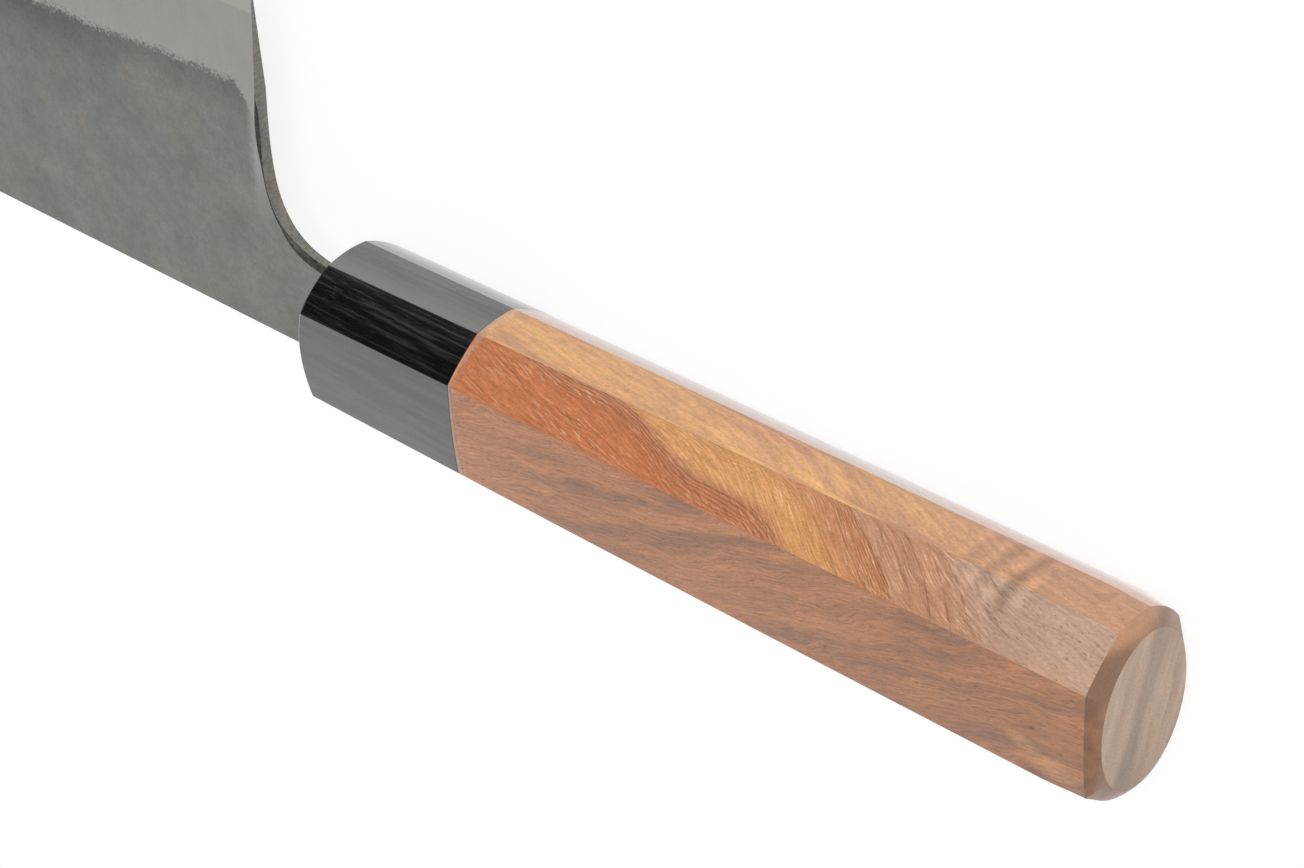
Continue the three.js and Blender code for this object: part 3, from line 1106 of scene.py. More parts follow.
@dataclass(frozen=True)
class CoreSteel(Finish):
    """Hard steel, ground satin across the edge.

    Attributes:
        bright: Colour of the steel.
    """

    name = "core_steel"
    bright: Colour = (0.395, 0.39, 0.352)

    def paint(self, graph: ShaderGraph) -> None:
        """Paints fine grinding marks.

        Args:
            graph: The material.
        """
        brush = graph.patches(0.2, 6.0, 1.0)
        clouds = graph.noise(graph.point, 7.0, 2.0)
        tone = graph.total(1.0, graph.swing(brush, 0.08), graph.swing(clouds, 0.08))
        graph.finish(base_color=graph.shade(self.bright, tone), metallic=1.0)
        graph.finish(roughness=graph.total(0.34, graph.swing(brush, 0.06)))
        graph.relief(brush, 0.01, 0.3)


@dataclass(frozen=True)
class DowelWood(Finish):
    """Plain pale wood of the hidden dowel.

    Attributes:
        pale: Colour of the early wood.
        straw: Colour of the late wood.
    """

    name = "dowel_wood"
    pale: Colour = (0.66, 0.50, 0.30)
    straw: Colour = (0.46, 0.31, 0.16)

    def paint(self, graph: ShaderGraph) -> None:
        """Paints straight grain along the dowel.

        Args:
            graph: The material.
        """
        grain = graph.patches(30.0, 0.8, 1.6, 3.0)
        graph.finish(base_color=graph.ramp(grain, (0.35, self.pale), (0.65, self.straw)))
        graph.finish(roughness=graph.total(0.6, graph.swing(grain, 0.1)))
        graph.relief(grain, 0.03, 0.4)


@dataclass(frozen=True)
class SetAdhesive(Finish):
    """Amber adhesive that has set round the tang.

    Attributes:
        clear: Colour where it is clear.
        cloudy: Colour where it is cloudy.
    """

    name = "set_adhesive"
    clear: Colour = (0.50, 0.36, 0.13)
    cloudy: Colour = (0.64, 0.52, 0.27)

    def paint(self, graph: ShaderGraph) -> None:
        """Paints clouds and small pits.

        Args:
            graph: The material.
        """
        clouds = graph.noise(graph.point, 3.0, 3.0)
        pits = graph.noise(graph.point, 0.6, 1.0)
        graph.finish(base_color=graph.ramp(clouds, (0.35, self.clear), (0.65, self.cloudy)))
        graph.finish(roughness=graph.total(0.35, graph.swing(clouds, 0.1)))
        graph.relief(pits, 0.05, 0.4)


def dress(node: str, finish: Finish, axes: KnifeAxes) -> None:
    """Gives a solid that stays in view its finish.

    Args:
        node: Name of the solid.
        finish: What it is finished in.
        axes: The knife's axes.
    """
    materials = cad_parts[node].data.materials
    materials.clear()
    materials.append(finish.material(axes))


def finished_mesh(name: str, build: bmesh.types.BMesh) -> bpy.types.Mesh:
    """Turns the faces that were put together into a mesh.

    Args:
        name: Name of the mesh.
        build: The faces, which are used up.

    Returns:
        The new mesh.
    """
    mesh = bpy.data.meshes.new(name)
    build.to_mesh(mesh)
    build.free()
    return mesh


def add_object(name: str, data: bpy.types.ID) -> bpy.types.Object:
    """Puts a mesh, lamp or camera into the scene.

    Args:
        name: Name of the object.
        data: What it holds.

    Returns:
        The new object.
    """
    item = bpy.data.objects.new(name, data)
    bpy.context.scene.collection.objects.link(item)
    return item


def add_piece(name: str, mesh: bpy.types.Mesh, node: str) -> bpy.types.Object:
    """Puts a mesh into the scene as a piece that stands for a solid.

    Args:
        name: Name of the piece.
        mesh: Its mesh, in the part's frame.
        node: Solid that it stands for.

    Returns:
        The new object.
    """
    piece = add_object(name, mesh)
    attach(piece, "root")
    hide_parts(node)
    return piece


@dataclass(frozen=True)
class Ring:
    """One ring of points round the handle's axis.

    Attributes:
        points: Its points in knife millimetres, anticlockwise seen from the butt.
        crisp: Whether the surface breaks sharply here.
        surface: Material slot of the band up to the next ring.
    """

    points: list[Vector]
    crisp: bool = False
    surface: int = 0


def loft(name: str, rings: list[Ring], end_surface: int, axes: KnifeAxes) -> bpy.types.Mesh:
    """Skins a row of rings and closes both ends.

    Args:
        name: Name of the mesh.
        rings: Rings with equal numbers of points.
        end_surface: Material slot of the last end.
        axes: The knife's axes.

    Returns:
        The closed mesh, in the part's frame.
    """
    build = bmesh.new()
    rows = [[build.verts.new(axes.place(point)) for point in ring.points] for ring in rings]
    for ring, row, following in zip(rings, rows, rows[1:]):
        for index in range(len(row)):
            after = (index + 1) % len(row)
            face = build.faces.new((row[index], row[after], following[after], following[index]))
            face.material_index = ring.surface
    build.faces.new(reversed(rows[0])).material_index = rings[0].surface
    build.faces.new(rows[-1]).material_index = end_surface
    for face in build.faces:
        face.smooth = True
    bmesh.ops.recalc_face_normals(build, faces=build.faces)
    for ring, row in zip(rings, rows):
        for index in range(len(row)):
            edge = build.edges.get((row[index - 1], row[index]))
            edge.smooth = not ring.crisp
    return finished_mesh(name, build)


class GripSurface(IntEnum):
    """Material slots of the grip."""

    SIDES = 0
    BUTT_BEVEL = 1
    BUTT_FACE = 2


@dataclass
class Handle:
    """The octagonal handle: black ferrule, brown grip, and the dowel and adhesive inside.

    Attributes:
        axes: The knife's axes.
        front_side_flat: Width of a side flat at the ferrule's front corners, in millimetres.
        butt_side_flat: The same at the butt.
        front_edge_flat: Width of the spine and edge flats at the ferrule's front corners.
        butt_edge_flat: The same at the butt.
        crown: Rise of each flat's middle, in millimetres.
        swell: Rise of the handle's middle, in millimetres.
        corner_round: Radius along the octagon's corners.
        joint_ease: Eased edge of both pieces at their joint.
        nose_radius: Radius of the ferrule's round nose.
        nose_ease: Eased edge between the nose and the flats.
        butt_worn_length: Length over which some corners are worn round before the butt.
        butt_worn_power: Power of the rounder outline that they are worn to.
        butt_worn_share: Size of that outline, as a share of the butt's.
        butt_bevel_length: Length of the butt's bevel along the axis.
        butt_bevel_height: The same bevel, inwards from the spine and edge flats.
        butt_bevel_side: The same bevel, inwards from the side flats.
        butt_bulge: How far the bevel bulges, as a share of its length.
        butt_squareness: Power of the butt's oval, 2 would be an ellipse.
        bore_radius: Radius of the bore for the dowel.
        bore_end: Where the bore ends, along the axis.
        slot_half_width: Half the width of the ferrule's slot.
        slot_low: The slot's end on the spine's side.
        slot_high: The slot's end on the edge's side.
        slot_depth: Depth of the slot, where the bore takes over.
    """

    axes: KnifeAxes
    front_side_flat: float = 13.55
    butt_side_flat: float = 15.95
    front_edge_flat: float = 6.8
    butt_edge_flat: float = 6.05
    crown: float = 0.25
    swell: float = 0.12
    corner_round: float = 0.2
    joint_ease: float = 0.05
    nose_radius: float = 25.0
    nose_ease: float = 0.15
    butt_worn_length: float = 6.0
    butt_worn_power: float = 2.25
    butt_worn_share: float = 0.975
    butt_bevel_length: float = 1.5
    butt_bevel_height: float = 2.0
    butt_bevel_side: float = 1.1
    butt_bulge: float = 0.35
    butt_squareness: float = 2.05
    bore_radius: float = 6.25
    bore_end: float = 96.75
    slot_half_width: float = 1.275
    slot_low: float = -8.25
    slot_high: float = 7.05
    slot_depth: float = 8.1

    CORNER_STEPS = 5
    FLAT_STEPS = 10
    BEVEL_STEPS = 6
    STATIONS = 52
    SHARP_ANGLE = math.radians(28)
    NOSE_SHARES = (0.4, 0.7, 0.76, 0.82, 0.88, 0.94, 0.985)
    # stretches round the axis, in degrees from the cutting edge, and what each adds to the butt's wear
    WEAR = ((114.0, 180.0, 1.0), (250.0, 315.0, -0.5), (343.0, 360.0, -0.5))

    def __post_init__(self) -> None:
        """Takes the main sizes from the solids."""
        ferrule_low, ferrule_high = map(self.axes.measure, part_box("ferrule"))
        grip_low, grip_high = map(self.axes.measure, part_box("handle_body"))
        self.joint = ferrule_high.x
        self.length = grip_high.x
        self.bevel_start = self.length - self.butt_bevel_length
        self.half_thickness = (grip_high.z - grip_low.z) / 2
        self.butt_half_height = (grip_high.y - grip_low.y) / 2
        self.joint_half_height = (ferrule_high.y - ferrule_low.y) / 2

    def corners(self, x: float, inset: float = 0.0) -> list[Vector]:
        """Sets out the octagon's corners.

        Args:
            x: Place along the axis.
            inset: How far every flat is moved inwards.

        Returns:
            Eight corners as points (y, z), anticlockwise from the edge flat's upper one.
        """
        share = x / self.bevel_start
        growth = (self.butt_half_height - self.joint_half_height) / (self.bevel_start - self.joint)
        height = self.joint_half_height + growth * (x - self.joint)
        side = (self.front_side_flat + (self.butt_side_flat - self.front_side_flat) * share) / 2
        edge = (self.front_edge_flat + (self.butt_edge_flat - self.front_edge_flat) * share) / 2
        thickness = self.half_thickness
        across = Vector((thickness - edge, height - side)).normalized()
        reach = across.x * side + across.y * thickness - inset
        height -= inset
        thickness -= inset
        side = (reach - across.y * thickness) / across.x
        edge = (reach - across.x * height) / across.y
        quarter = [Vector((height, edge)), Vector((side, thickness))]
        half = quarter + [Vector((-point.x, point.y)) for point in reversed(quarter)]
        return half + [-point for point in half]

    def outline(self, x: float, inset: float = 0.0) -> list[Vector]:
        """Rounds the octagon's corners and crowns its flats.

        Args:
            x: Place along the axis.
            inset: How far every flat is moved inwards.

        Returns:
            The outline's points in knife millimetres.
        """
        corners = self.corners(x, inset)
        rounds = []
        for before, corner, after in zip(corners[-1:] + corners, corners, corners[1:] + corners[:1]):
            rounds.append(self.round_corner(before, corner, after))
        points = []
        for arc, following in zip(rounds, rounds[1:] + rounds[:1]):
            points += arc
            points += self.crowned_flat(arc[-1], following[0])
        middle = (x - self.length / 2) / (self.length / 2)
        swell = 1 + self.swell * (1 - middle**2) / self.half_thickness
        return [Vector((x, point.x * swell, point.y * swell)) for point in points]

    def round_corner(self, before: Vector, corner: Vector, after: Vector) -> list[Vector]:
        """Rounds one corner.

        Args:
            before: The corner before it.
            corner: The corner.
            after: The corner after it.

        Returns:
            Points of the arc that takes the corner's place.
        """
        incoming = (corner - before).normalized()
        outgoing = (after - corner).normalized()
        turn = math.acos(incoming.dot(outgoing))
        start = corner - incoming * self.corner_round * math.tan(turn / 2)
        centre = start + Vector((-incoming.y, incoming.x)) * self.corner_round
        arc = []
        for step in range(self.CORNER_STEPS + 1):
            spoke = Matrix.Rotation(turn * step / self.CORNER_STEPS, 2) @ (start - centre)
            arc.append(centre + spoke)
        return arc

    def crowned_flat(self, start: Vector, end: Vector) -> list[Vector]:
        """Sets out the points across a flat, a little higher in its middle.

        Args:
            start: Where the flat starts.
            end: Where it ends.

        Returns:
            The points between them.
        """
        along = end - start
        outward = Vector((along.y, -along.x)).normalized() * self.crown
        points = []
        for step in range(1, self.FLAT_STEPS):
            share = step / self.FLAT_STEPS
            points.append(start + along * share + outward * (1 - (2 * share - 1) ** 2))
        return points

    def circle(self, x: float) -> list[Vector]:
        """Sets out the bore's circle, a point for each one of the outline."""
        outline = self.outline(self.joint)
        return [Vector((x, *(Vector(point.yz).normalized() * self.bore_radius))) for point in outline]

    @staticmethod
    def spread(point: Vector, half_height: float, half_thickness: float, power: float) -> float:
        """Tells how far out a point is, where 1 is on the rounded outline of that size and power."""
        return abs(point.y / half_height) ** power + abs(point.z / half_thickness) ** power

    def oval(self, share: float) -> list[Vector]:
        """Sets out a ring of the butt's bevel.

        Args:
            share: How far it is from the octagon, at 0, to the oval, at 1.

        Returns:
            The ring's points in knife millimetres.
        """
        power = self.butt_squareness
        half_height = self.butt_half_height - self.butt_bevel_height
        half_thickness = self.half_thickness - self.butt_bevel_side
        x = self.bevel_start + self.butt_bevel_length * share * (1 + self.butt_bulge * (1 - share))
        points = []
        for point in self.worn_outline(self.bevel_start):
            spread = self.spread(point, half_height, half_thickness, power)
            draw = 1 + (spread ** (-1 / power) - 1) * share
            points.append(Vector((x, point.y * draw, point.z * draw)))
        return points

    def worn_outline(self, x: float) -> list[Vector]:
        """Sets out the outline, worn round towards the butt on the spine's side and the left.

        Args:
            x: Place along the axis.

        Returns:
            The outline's points in knife millimetres.
        """
        power = self.butt_worn_power
        half_height = self.butt_half_height * self.butt_worn_share
        half_thickness = self.half_thickness * self.butt_worn_share
        near_butt = smooth_step(x, self.bevel_start - self.butt_worn_length, self.bevel_start)
        points = []
        for point in self.outline(x):
            angle = math.degrees(math.atan2(point.z, point.y)) % 360
            worn = sum(change * smooth_step(angle, start, end) for start, end, change in self.WEAR)
            spread = self.spread(point, half_height, half_thickness, power)
            draw = 1 + (max(spread, 1.0) ** (-1 / power) - 1) * worn * near_butt
            points.append(Vector((x, point.y * draw, point.z * draw)))
        return points

    def nose(self, share: float, ease: float = 0.0) -> list[Vector]:
        """Sets out a ring on the ferrule's round nose.

        Args:
            share: Its size, as a share of the octagon.
            ease: How far it is moved back from the nose.

        Returns:
            The ring's points in knife millimetres.
        """
        corner = self.corners(0.0)[1]
        centre = math.sqrt(self.nose_radius**2 - corner.length_squared)
        points = []
        for point in self.outline(0.0):
            spot = Vector(point.yz) * share
            x = centre - math.sqrt(self.nose_radius**2 - spot.length_squared)
            points.append(Vector((max(x, -NOSE_LENGTH) + ease, *spot)))
        return points

    def stations(self, start: float, end: float) -> list[float]:
        """Spaces places evenly along the axis."""
        return [start + (end - start) * step / self.STATIONS for step in range(self.STATIONS + 1)]

    def build_grip(self) -> bpy.types.Object:
        """Makes the grip with its bore, eased joint and bevelled butt.

        Returns:
            The grip.
        """
        ease = self.joint_ease
        rings = [Ring(self.circle(self.bore_end), crisp=True)]
        rings.append(Ring(self.circle(self.joint), crisp=True))
        rings.append(Ring(self.outline(self.joint, ease), crisp=True))
        rings += [Ring(self.worn_outline(x)) for x in self.stations(self.joint + ease, self.bevel_start)[:-1]]
        for step in range(self.BEVEL_STEPS):
            ring = self.oval(step / self.BEVEL_STEPS)
            rings.append(Ring(ring, crisp=step == 0, surface=GripSurface.BUTT_BEVEL))
        rings.append(Ring(self.oval(1.0), crisp=True))
        mesh = loft("grip", rings, GripSurface.BUTT_FACE, self.axes)
        for finish in (GripWood(), BevelWood(), EndGrain()):
            mesh.materials.append(finish.material(self.axes))
        return add_piece("grip", mesh, "handle_body")

    def build_ferrule(self) -> bpy.types.Object:
        """Makes the ferrule with its round nose, slot and bore.

        Returns:
            The ferrule.
        """
        rings = [Ring(self.nose(share)) for share in self.NOSE_SHARES]
        rings.append(Ring(self.nose(1.0, self.nose_ease)))
        back = self.joint - self.joint_ease
        rings += [Ring(self.outline(x)) for x in self.stations(2 * self.nose_ease, back)]
        rings.append(Ring(self.outline(self.joint, self.joint_ease)))
        mesh = loft("ferrule_body", rings, 0, self.axes)
        mesh.materials.append(FerruleWood().material(self.axes))
        piece = add_piece("black_ferrule", mesh, "ferrule")
        self.cut(piece, self.slot_cutter())
        self.cut(piece, self.bore_cutter())
        piece.data.set_sharp_from_angle(angle=self.SHARP_ANGLE)
        return piece

    def slot_cutter(self) -> bpy.types.Mesh:
        """Makes the solid that cuts the slot for the neck.

        Returns:
            The cutter's mesh, in the part's frame.
        """
        build = bmesh.new()
        bmesh.ops.create_cube(build, size=1.0)
        low = Vector((-self.slot_depth, self.slot_low, -self.slot_half_width))
        high = Vector((self.slot_depth, self.slot_high, self.slot_half_width))
        for vert in build.verts:
            share = vert.co + Vector((0.5, 0.5, 0.5))
            vert.co = self.axes.place(low + (high - low) * share)
        return finished_mesh("slot_cutter", build)

    def bore_cutter(self) -> bpy.types.Mesh:
        """Makes the solid that cuts the ferrule's bore.

        Returns:
            The cutter's mesh, in the part's frame.
        """
        start = self.slot_depth - self.joint_ease
        rings = [Ring(self.circle(start)), Ring(self.circle(2 * self.joint))]
        return loft("bore_cutter", rings, 0, self.axes)

    def cut(self, piece: bpy.types.Object, cutter_mesh: bpy.types.Mesh) -> None:
        """Cuts a solid out of a piece for good.

        Args:
            piece: What is cut.
            cutter_mesh: The solid that is taken away.
        """
        cutter = add_object(cutter_mesh.name, cutter_mesh)
        modifier = piece.modifiers.new("cut", "BOOLEAN")
        modifier.operation = "DIFFERENCE"
        modifier.solver = "EXACT"
        modifier.object = cutter
        graph = bpy.context.evaluated_depsgraph_get()
        result = bpy.data.meshes.new_from_object(piece.evaluated_get(graph))
        piece.modifiers.clear()
        piece.data = result
        bpy.data.objects.remove(cutter)

    def build(self) -> list[bpy.types.Object]:
        """Makes and dresses every piece of the handle.

        Returns:
            The ferrule and the grip.
        """
        pieces = [self.build_ferrule(), self.build_grip()]
        dress("tang_dowel", DowelWood(), self.axes)
        dress("tang_bedding", SetAdhesive(), self.axes)
        return pieces


class BladeSurface(IntEnum):
    """Material slots of a blade layer."""

    FACE = 0
    SIDE = 1
    EASED = 2


class Layer(Enum):
    """The blade's layers: solid, piece and record slot."""

    CORE = ("core_steel", "edge_core", "core_steel")
    RIGHT = ("right_cladding", "right_cheek_layer", "cladding_iron")
    LEFT = ("left_cladding", "left_cheek_layer", "cladding_iron")


@dataclass
class Blade:
    """The three-layer blade: hard core between two soft cheeks.

    Attributes:
        axes: The knife's axes.
        chamfer: Greatest width of the eased edge round the cheeks, in millimetres.
        heel_from: Where the eased edge starts on the heel, along Y.
        heel_widest: Where it is widest on the heel.
        heel_to: Where it has narrowed again.
        heel_share: Its width there, as a share.
        heel_end: Where the heel and the neck end towards the tip, along X.
        under_share: Its width on the left cheek, as a share of the right one's.
        throat_from: Where it widens again towards the neck, along Y.
        throat_to: Where it has its full width.
        narrow_share: Its width between heel and neck, as a share.
        spine_share: Its width along the spine and the tip, as a share.
    """

    axes: KnifeAxes
    chamfer: float = 0.8
    heel_from: float = 32.0
    heel_widest: float = 25.5
    heel_to: float = 18.0
    heel_share: float = 0.62
    heel_end: float = -20.0
    under_share: float = 0.3
    throat_from: float = 12.5
    throat_to: float = 8.0
    narrow_share: float = 0.08
    spine_share: float = 0.25

    LEVEL = 0.99999
    UPRIGHT = 0.1
    CLEAN_ANGLE = math.radians(0.05)
    SHARP_ANGLE = math.radians(20)
    EASE_SEGMENTS = 2
    MERGE = 1e-6

    def is_side(self, face: bmesh.types.BMFace) -> bool:
        """Tells whether a face is part of the outline's narrow sides."""
        return abs(face.normal.z) < self.UPRIGHT

    def is_cheek(self, face: bmesh.types.BMFace) -> bool:
        """Tells whether a face is a flat cheek."""
        return abs(face.normal.z) > self.LEVEL

    def ease_share(self, edge: bmesh.types.BMEdge) -> float:
        """Works out how wide the eased edge is along one edge of a cheek.

        Args:
            edge: An edge of the layer.

        Returns:
            A share of the full width, 0 where the edge stays crisp.
        """
        faces = edge.link_faces
        if not (any(map(self.is_side, faces)) and any(map(self.is_cheek, faces))):
            return 0.0
        middle = self.axes.measure((edge.verts[0].co + edge.verts[1].co) / 2)
        outer = max(faces, key=lambda face: abs(face.normal.z))
        inward = outer.normal.z * middle.z < 0
        if inward or middle.x > 0:
            return 0.0
        if middle.y < 0 or middle.x < self.heel_end:
            return self.spine_share
        if middle.y > self.heel_from:
            return 0.0
        rising = smooth_step(middle.y, self.heel_from, self.heel_widest)
        heel = rising * smooth_step(middle.y, self.heel_to, self.heel_widest) * self.heel_share
        throat = smooth_step(middle.y, self.throat_from, self.throat_to)
        return max(heel, throat, self.narrow_share * rising)

    def layer_mesh(self, layer: Layer) -> bpy.types.Mesh:
        """Copies a layer's solid and marks its surfaces and edges.

        Args:
            layer: The layer.

        Returns:
            The new mesh.
        """
        node, piece, _ = layer.value
        build = bmesh.new()
        build.from_mesh(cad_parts[node].data)
        bmesh.ops.remove_doubles(build, verts=build.verts, dist=self.MERGE)
        bmesh.ops.dissolve_limit(
            build, angle_limit=self.CLEAN_ANGLE, verts=build.verts, edges=build.edges
        )
        weight = build.edges.layers.float.new("bevel_weight_edge")
        for face in build.faces:
            face.smooth = True
            face.material_index = BladeSurface.SIDE if self.is_side(face) else BladeSurface.FACE
        for edge in build.edges:
            both_narrow = all(map(self.is_side, edge.link_faces))
            edge.smooth = both_narrow and edge.calc_face_angle(0.0) < self.SHARP_ANGLE
            if layer is not Layer.CORE:
                edge[weight] = self.ease_share(edge) * (1.0 if layer is Layer.RIGHT else self.under_share)
                edge.smooth = edge.smooth or edge[weight] > 0
        return finished_mesh(piece, build)

    def build_layer(self, layer: Layer) -> bpy.types.Object:
        """Makes and dresses one layer.

        Args:
            layer: The layer.

        Returns:
            The layer's piece.
        """
        node, name, slot = layer.value
        mesh = self.layer_mesh(layer)
        face_finish = CoreSteel() if layer is Layer.CORE else ForgedIron()
        for finish in (face_finish, HeatTint(), DarkReflectionEdge()):
            mesh.materials.append(finish.material(self.axes))
        piece = add_piece(name, mesh, node)
        if layer is not Layer.CORE:
            ease = piece.modifiers.new("eased edge", "BEVEL")
            ease.limit_method = "WEIGHT"
            ease.width = self.chamfer * MM
            ease.use_clamp_overlap = False
            ease.segments = self.EASE_SEGMENTS
            ease.material = BladeSurface.EASED
            flatten = piece.modifiers.new("flat cheeks", "WEIGHTED_NORMAL")
            flatten.keep_sharp = True
        return piece

    def build(self) -> list[bpy.types.Object]:
        """Makes and dresses every layer."""
        return [self.build_layer(layer) for layer in Layer]


@dataclass(frozen=True)
class Softbox:
    """A large soft lamp.

    Attributes:
        name: Name of the lamp.
        spot: Where it hangs, in knife millimetres.
        aim: What it points at, in knife millimetres.
        width: Its width, in metres.
        height: Its height, in metres.
        radiance: How bright its face is, where 1 is white.
    """

    name: str
    spot: Vector
    aim: Vector
    width: float
    height: float
    radiance: float

    def hang(self, axes: KnifeAxes) -> None:
        """Hangs the lamp in the studio.

        Args:
            axes: The knife's axes.
        """
        light = bpy.data.lights.new(self.name, "AREA")
        light.shape = "RECTANGLE"
        light.size = self.width
        light.size_y = self.height
        light.energy = self.radiance * math.pi * self.width * self.height
        lamp = add_object(self.name, light)
        lamp.location = axes.place(self.spot)
        lamp.rotation_mode = "QUATERNION"
        lamp.rotation_quaternion = (self.aim - self.spot).to_track_quat("-Z", "Y")
        lamp.visible_camera = False


@dataclass
class Studio:
    """A white floor, a pale horizon, a grey ceiling with a dark flag, and two softboxes.

    Attributes:
        axes: The knife's axes.
        floor_size: Length of the floor's sides, in metres.
        floor_white: How much light the floor gives back.
        floor_glow: What the floor shows by itself where it is seen.
        floor_seen: How much light it gives back where it is seen, which keeps the shadow.
        horizon: Brightness of the horizon.
        horizon_top: Height up to which the horizon's brightness goes, as a share of straight up.
        ceiling: Brightness of the space overhead.
        ceiling_from: Height from which that brightness holds.
        flag: Brightness of the dark flag that the upper chamfer mirrors.
        flag_towards: Direction of the flag.
        flag_inner: Angle from its middle to where it starts to fade, in degrees.
        flag_outer: Angle to where it has faded out.
        aim: What the softboxes point at, in knife millimetres.
        cheek_spot: Where the softbox hangs that the cheek mirrors.
        front_spot: Where the softbox hangs near the camera.
    """

    axes: KnifeAxes
    floor_size: float = 12.0
    floor_white: float = 0.85
    floor_glow: float = 0.85
    floor_seen: float = 0.21
    horizon: float = 1.0
    horizon_top: float = 0.06
    ceiling: float = 0.4
    ceiling_from: float = 0.2
    flag: float = 0.018
    flag_towards: Vector = Vector((-0.53, 0.74, 0.41)).freeze()
    flag_inner: float = 21.0
    flag_outer: float = 36.0
    aim: Vector = Vector((30.0, 5.0, 0.0)).freeze()
    cheek_spot: Vector = Vector((-285.0, -375.0, 345.0)).freeze()
    front_spot: Vector = Vector((524.5, 764.0, 713.0)).freeze()

    FLOOR_CELLS = 8

    def softboxes(self) -> list[Softbox]:
        """Lists the lamps: one mirrored by the cheek, one near the camera.

        Returns:
            The lamps.
        """
        return [
            Softbox("cheek_softbox", self.cheek_spot, self.aim, width=0.70, height=0.50, radiance=0.6),
            Softbox("front_softbox", self.front_spot, self.aim, width=0.50, height=0.50, radiance=11.0),
        ]

    def floor_material(self) -> bpy.types.Material:
        """Makes the floor's material: white with the shadow where it is seen, plain white where mirrored.

        Returns:
            The material.
        """
        material = bpy.data.materials.new("studio_floor")
        material.use_nodes = True
        nodes = material.node_tree.nodes
        links = material.node_tree.links
        nodes.clear()
        path = nodes.new("ShaderNodeLightPath")
        mirrored = nodes.new("ShaderNodeMath")
        mirrored.operation = "MAXIMUM"
        links.new(path.outputs["Is Glossy Ray"], mirrored.inputs[0])
        links.new(path.outputs["Is Transmission Ray"], mirrored.inputs[1])
        paint = nodes.new("ShaderNodeBsdfDiffuse")
        paint.inputs["Color"].default_value = (self.floor_white,) * 3 + (1.0,)
        shadowed = nodes.new("ShaderNodeBsdfDiffuse")
        shadowed.inputs["Color"].default_value = (self.floor_seen,) * 3 + (1.0,)
        glow = nodes.new("ShaderNodeEmission")
        glow.inputs["Strength"].default_value = self.floor_glow
        white = nodes.new("ShaderNodeAddShader")
        links.new(shadowed.outputs[0], white.inputs[0])
        links.new(glow.outputs[0], white.inputs[1])
        plain = nodes.new("ShaderNodeEmission")
        lit = self.choose(material, path.outputs["Is Camera Ray"], paint, white)
        shown = self.choose(material, mirrored.outputs[0], lit, plain)
        output = nodes.new("ShaderNodeOutputMaterial")
        links.new(shown.outputs[0], output.inputs["Surface"])
        return material

    @staticmethod
    def choose(
        material: bpy.types.Material, share: Socket, under: bpy.types.Node, over: bpy.types.Node
    ) -> bpy.types.Node:
        """Mixes two shaders.

        Args:
            material: The material that they are part of.
            share: How much of the second shader is taken.
            under: The first shader.
            over: The second shader.

        Returns:
            The mix's node.
        """
        mix = material.node_tree.nodes.new("ShaderNodeMixShader")
        for socket, source in zip(mix.inputs, (share, under.outputs[0], over.outputs[0])):
            material.node_tree.links.new(source, socket)
        return mix

    def lay_floor(self) -> None:
        """Lays the floor under the knife's lowest point."""
        low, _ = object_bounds()
        build = bmesh.new()
        cells = self.FLOOR_CELLS
        bmesh.ops.create_grid(build, x_segments=cells, y_segments=cells, size=self.floor_size / 2)
        mesh = finished_mesh("floor", build)
        mesh.materials.append(self.floor_material())
        floor = add_object("floor", mesh)
        floor.location.z = low.z
        floor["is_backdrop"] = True

    def raise_horizon(self) -> None:
        """Makes the surroundings, pale low down and grey overhead, with the dark flag."""
        world = bpy.data.worlds.new("studio")
        bpy.context.scene.world = world
        world.use_nodes = True
        nodes = world.node_tree.nodes
        links = world.node_tree.links
        coordinates = nodes.new("ShaderNodeTexCoord")
        split = nodes.new("ShaderNodeSeparateXYZ")
        links.new(coordinates.outputs["Generated"], split.inputs["Vector"])
        facing = nodes.new("ShaderNodeVectorMath")
        facing.operation = "DOT_PRODUCT"
        facing.inputs[1].default_value = self.flag_towards.normalized()
        links.new(coordinates.outputs["Generated"], facing.inputs[0])
        outer, inner = (math.cos(math.radians(angle)) for angle in (self.flag_outer, self.flag_inner))
        overhead = self.fade(world, facing.outputs["Value"], (outer, inner), (self.ceiling, self.flag))
        heights = (self.horizon_top, self.ceiling_from)
        level = self.fade(world, split.outputs["Z"], heights, (self.horizon, self.ceiling))
        links.new(overhead.outputs["Result"], level.inputs["To Max"])
        background = nodes["Background"]
        background.inputs["Color"].default_value = (1.0, 1.0, 1.0, 1.0)
        links.new(level.outputs["Result"], background.inputs["Strength"])

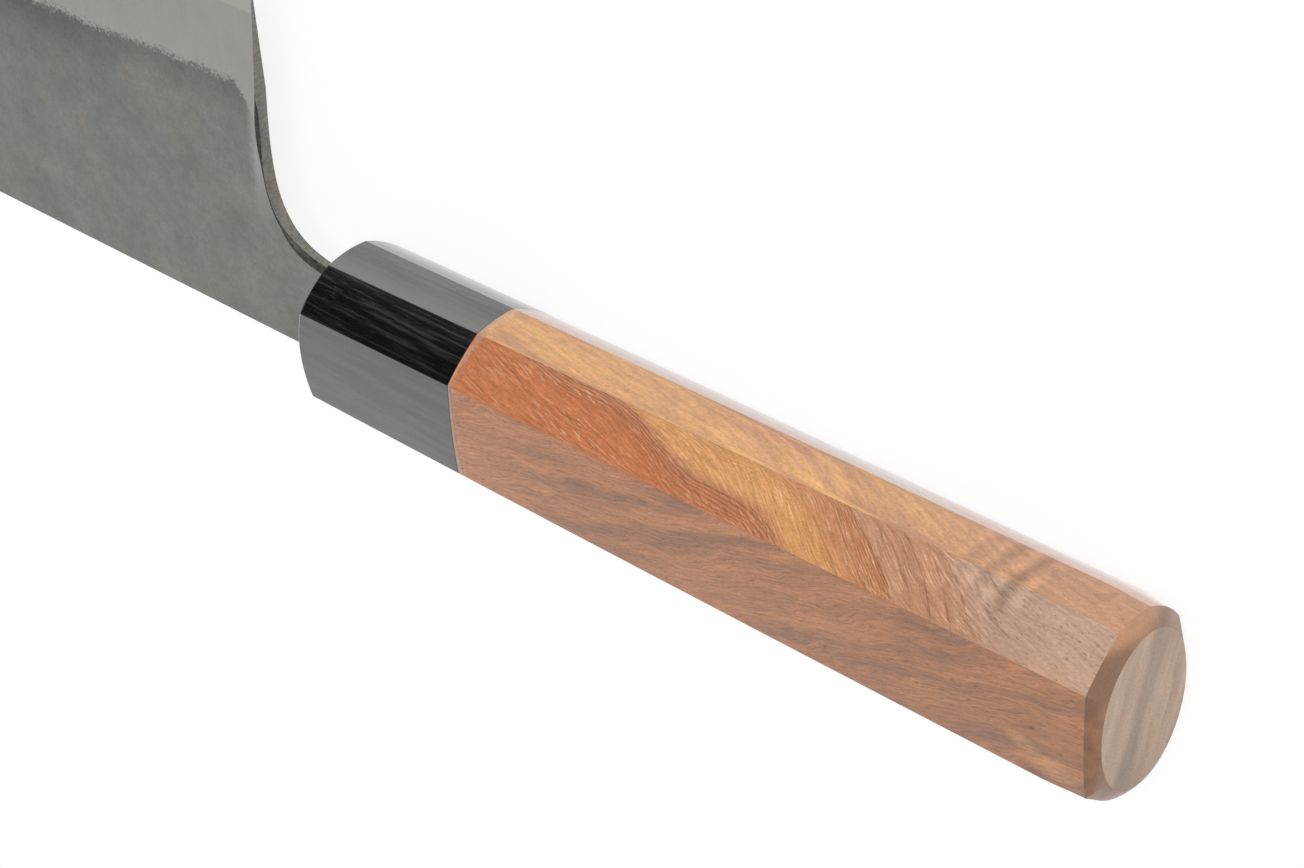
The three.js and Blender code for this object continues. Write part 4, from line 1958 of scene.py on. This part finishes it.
    @staticmethod
    def fade(
        world: bpy.types.World, value: Socket, span: tuple[float, float], levels: tuple[float, float]
    ) -> bpy.types.Node:
        """Goes smoothly from one level to another.

        Args:
            world: The surroundings.
            value: What is measured.
            span: Where the first level ends and where the second one begins.
            levels: The two levels.

        Returns:
            The node, whose levels may be linked to others.
        """
        node = world.node_tree.nodes.new("ShaderNodeMapRange")
        node.interpolation_type = "SMOOTHSTEP"
        for name, number in zip(("From Min", "From Max", "To Min", "To Max"), (*span, *levels)):
            node.inputs[name].default_value = number
        world.node_tree.links.new(value, node.inputs["Value"])
        return node

    def build(self) -> None:
        """Sets up the studio."""
        self.lay_floor()
        self.raise_horizon()
        for softbox in self.softboxes():
            softbox.hang(self.axes)
        bpy.context.scene.view_settings.view_transform = "Standard"


@dataclass
class PhotoCamera:
    """The camera at the photograph's place, which looks down along the handle towards the blade.

    Attributes:
        axes: The knife's axes.
        aim: What it looks at, in knife millimetres.
        towards: Direction from there to the camera.
        distance: Distance to the camera, in millimetres.
        roll: How far it is turned from having the cutting edge upwards, in degrees.
        lens: Focal length, in millimetres.
        sensor: Width of the sensor, in millimetres.
        nearest: Distance from which things are drawn, in metres.
    """

    axes: KnifeAxes
    aim: Vector = Vector((53.07, 5.44, 0.0)).freeze()
    towards: Vector = Vector((0.55009, 0.61236, 0.56782)).freeze()
    distance: float = 451.33
    roll: float = 4.715
    lens: float = 100.0
    sensor: float = 36.0
    nearest: float = 0.01

    def build(self) -> bpy.types.Object:
        """Sets the camera up and makes it the scene's own.

        Returns:
            The camera.
        """
        data = bpy.data.cameras.new("photo_camera")
        data.lens = self.lens
        data.sensor_fit = "HORIZONTAL"
        data.sensor_width = self.sensor
        data.clip_start = self.nearest
        forward = -self.towards.normalized()
        level = forward.cross(Vector((0.0, 1.0, 0.0))).normalized()
        upright = level.cross(forward)
        roll = math.radians(self.roll)
        up = upright * math.cos(roll) + level * math.sin(roll)
        right = forward.cross(up)
        turn = Matrix((right, up, -forward)).transposed().to_4x4()
        spot = self.axes.place(self.aim - forward * self.distance)
        camera = add_object("photo_camera", data)
        camera.matrix_world = Matrix.Translation(spot) @ turn
        bpy.context.scene.camera = camera
        return camera


def main() -> None:
    """Builds the camera, the knife and the studio."""
    logging.basicConfig(level=logging.INFO, format="%(name)s: %(message)s")
    axes = KnifeAxes.from_solids()
    PhotoCamera(axes).build()
    for assembly in (Handle(axes), Blade(axes)):
        for piece in assembly.build():
            LOG.info("%s: %d faces", piece.name, len(piece.data.polygons))
    Studio(axes).build()


if __name__ == "__main__":
    main()
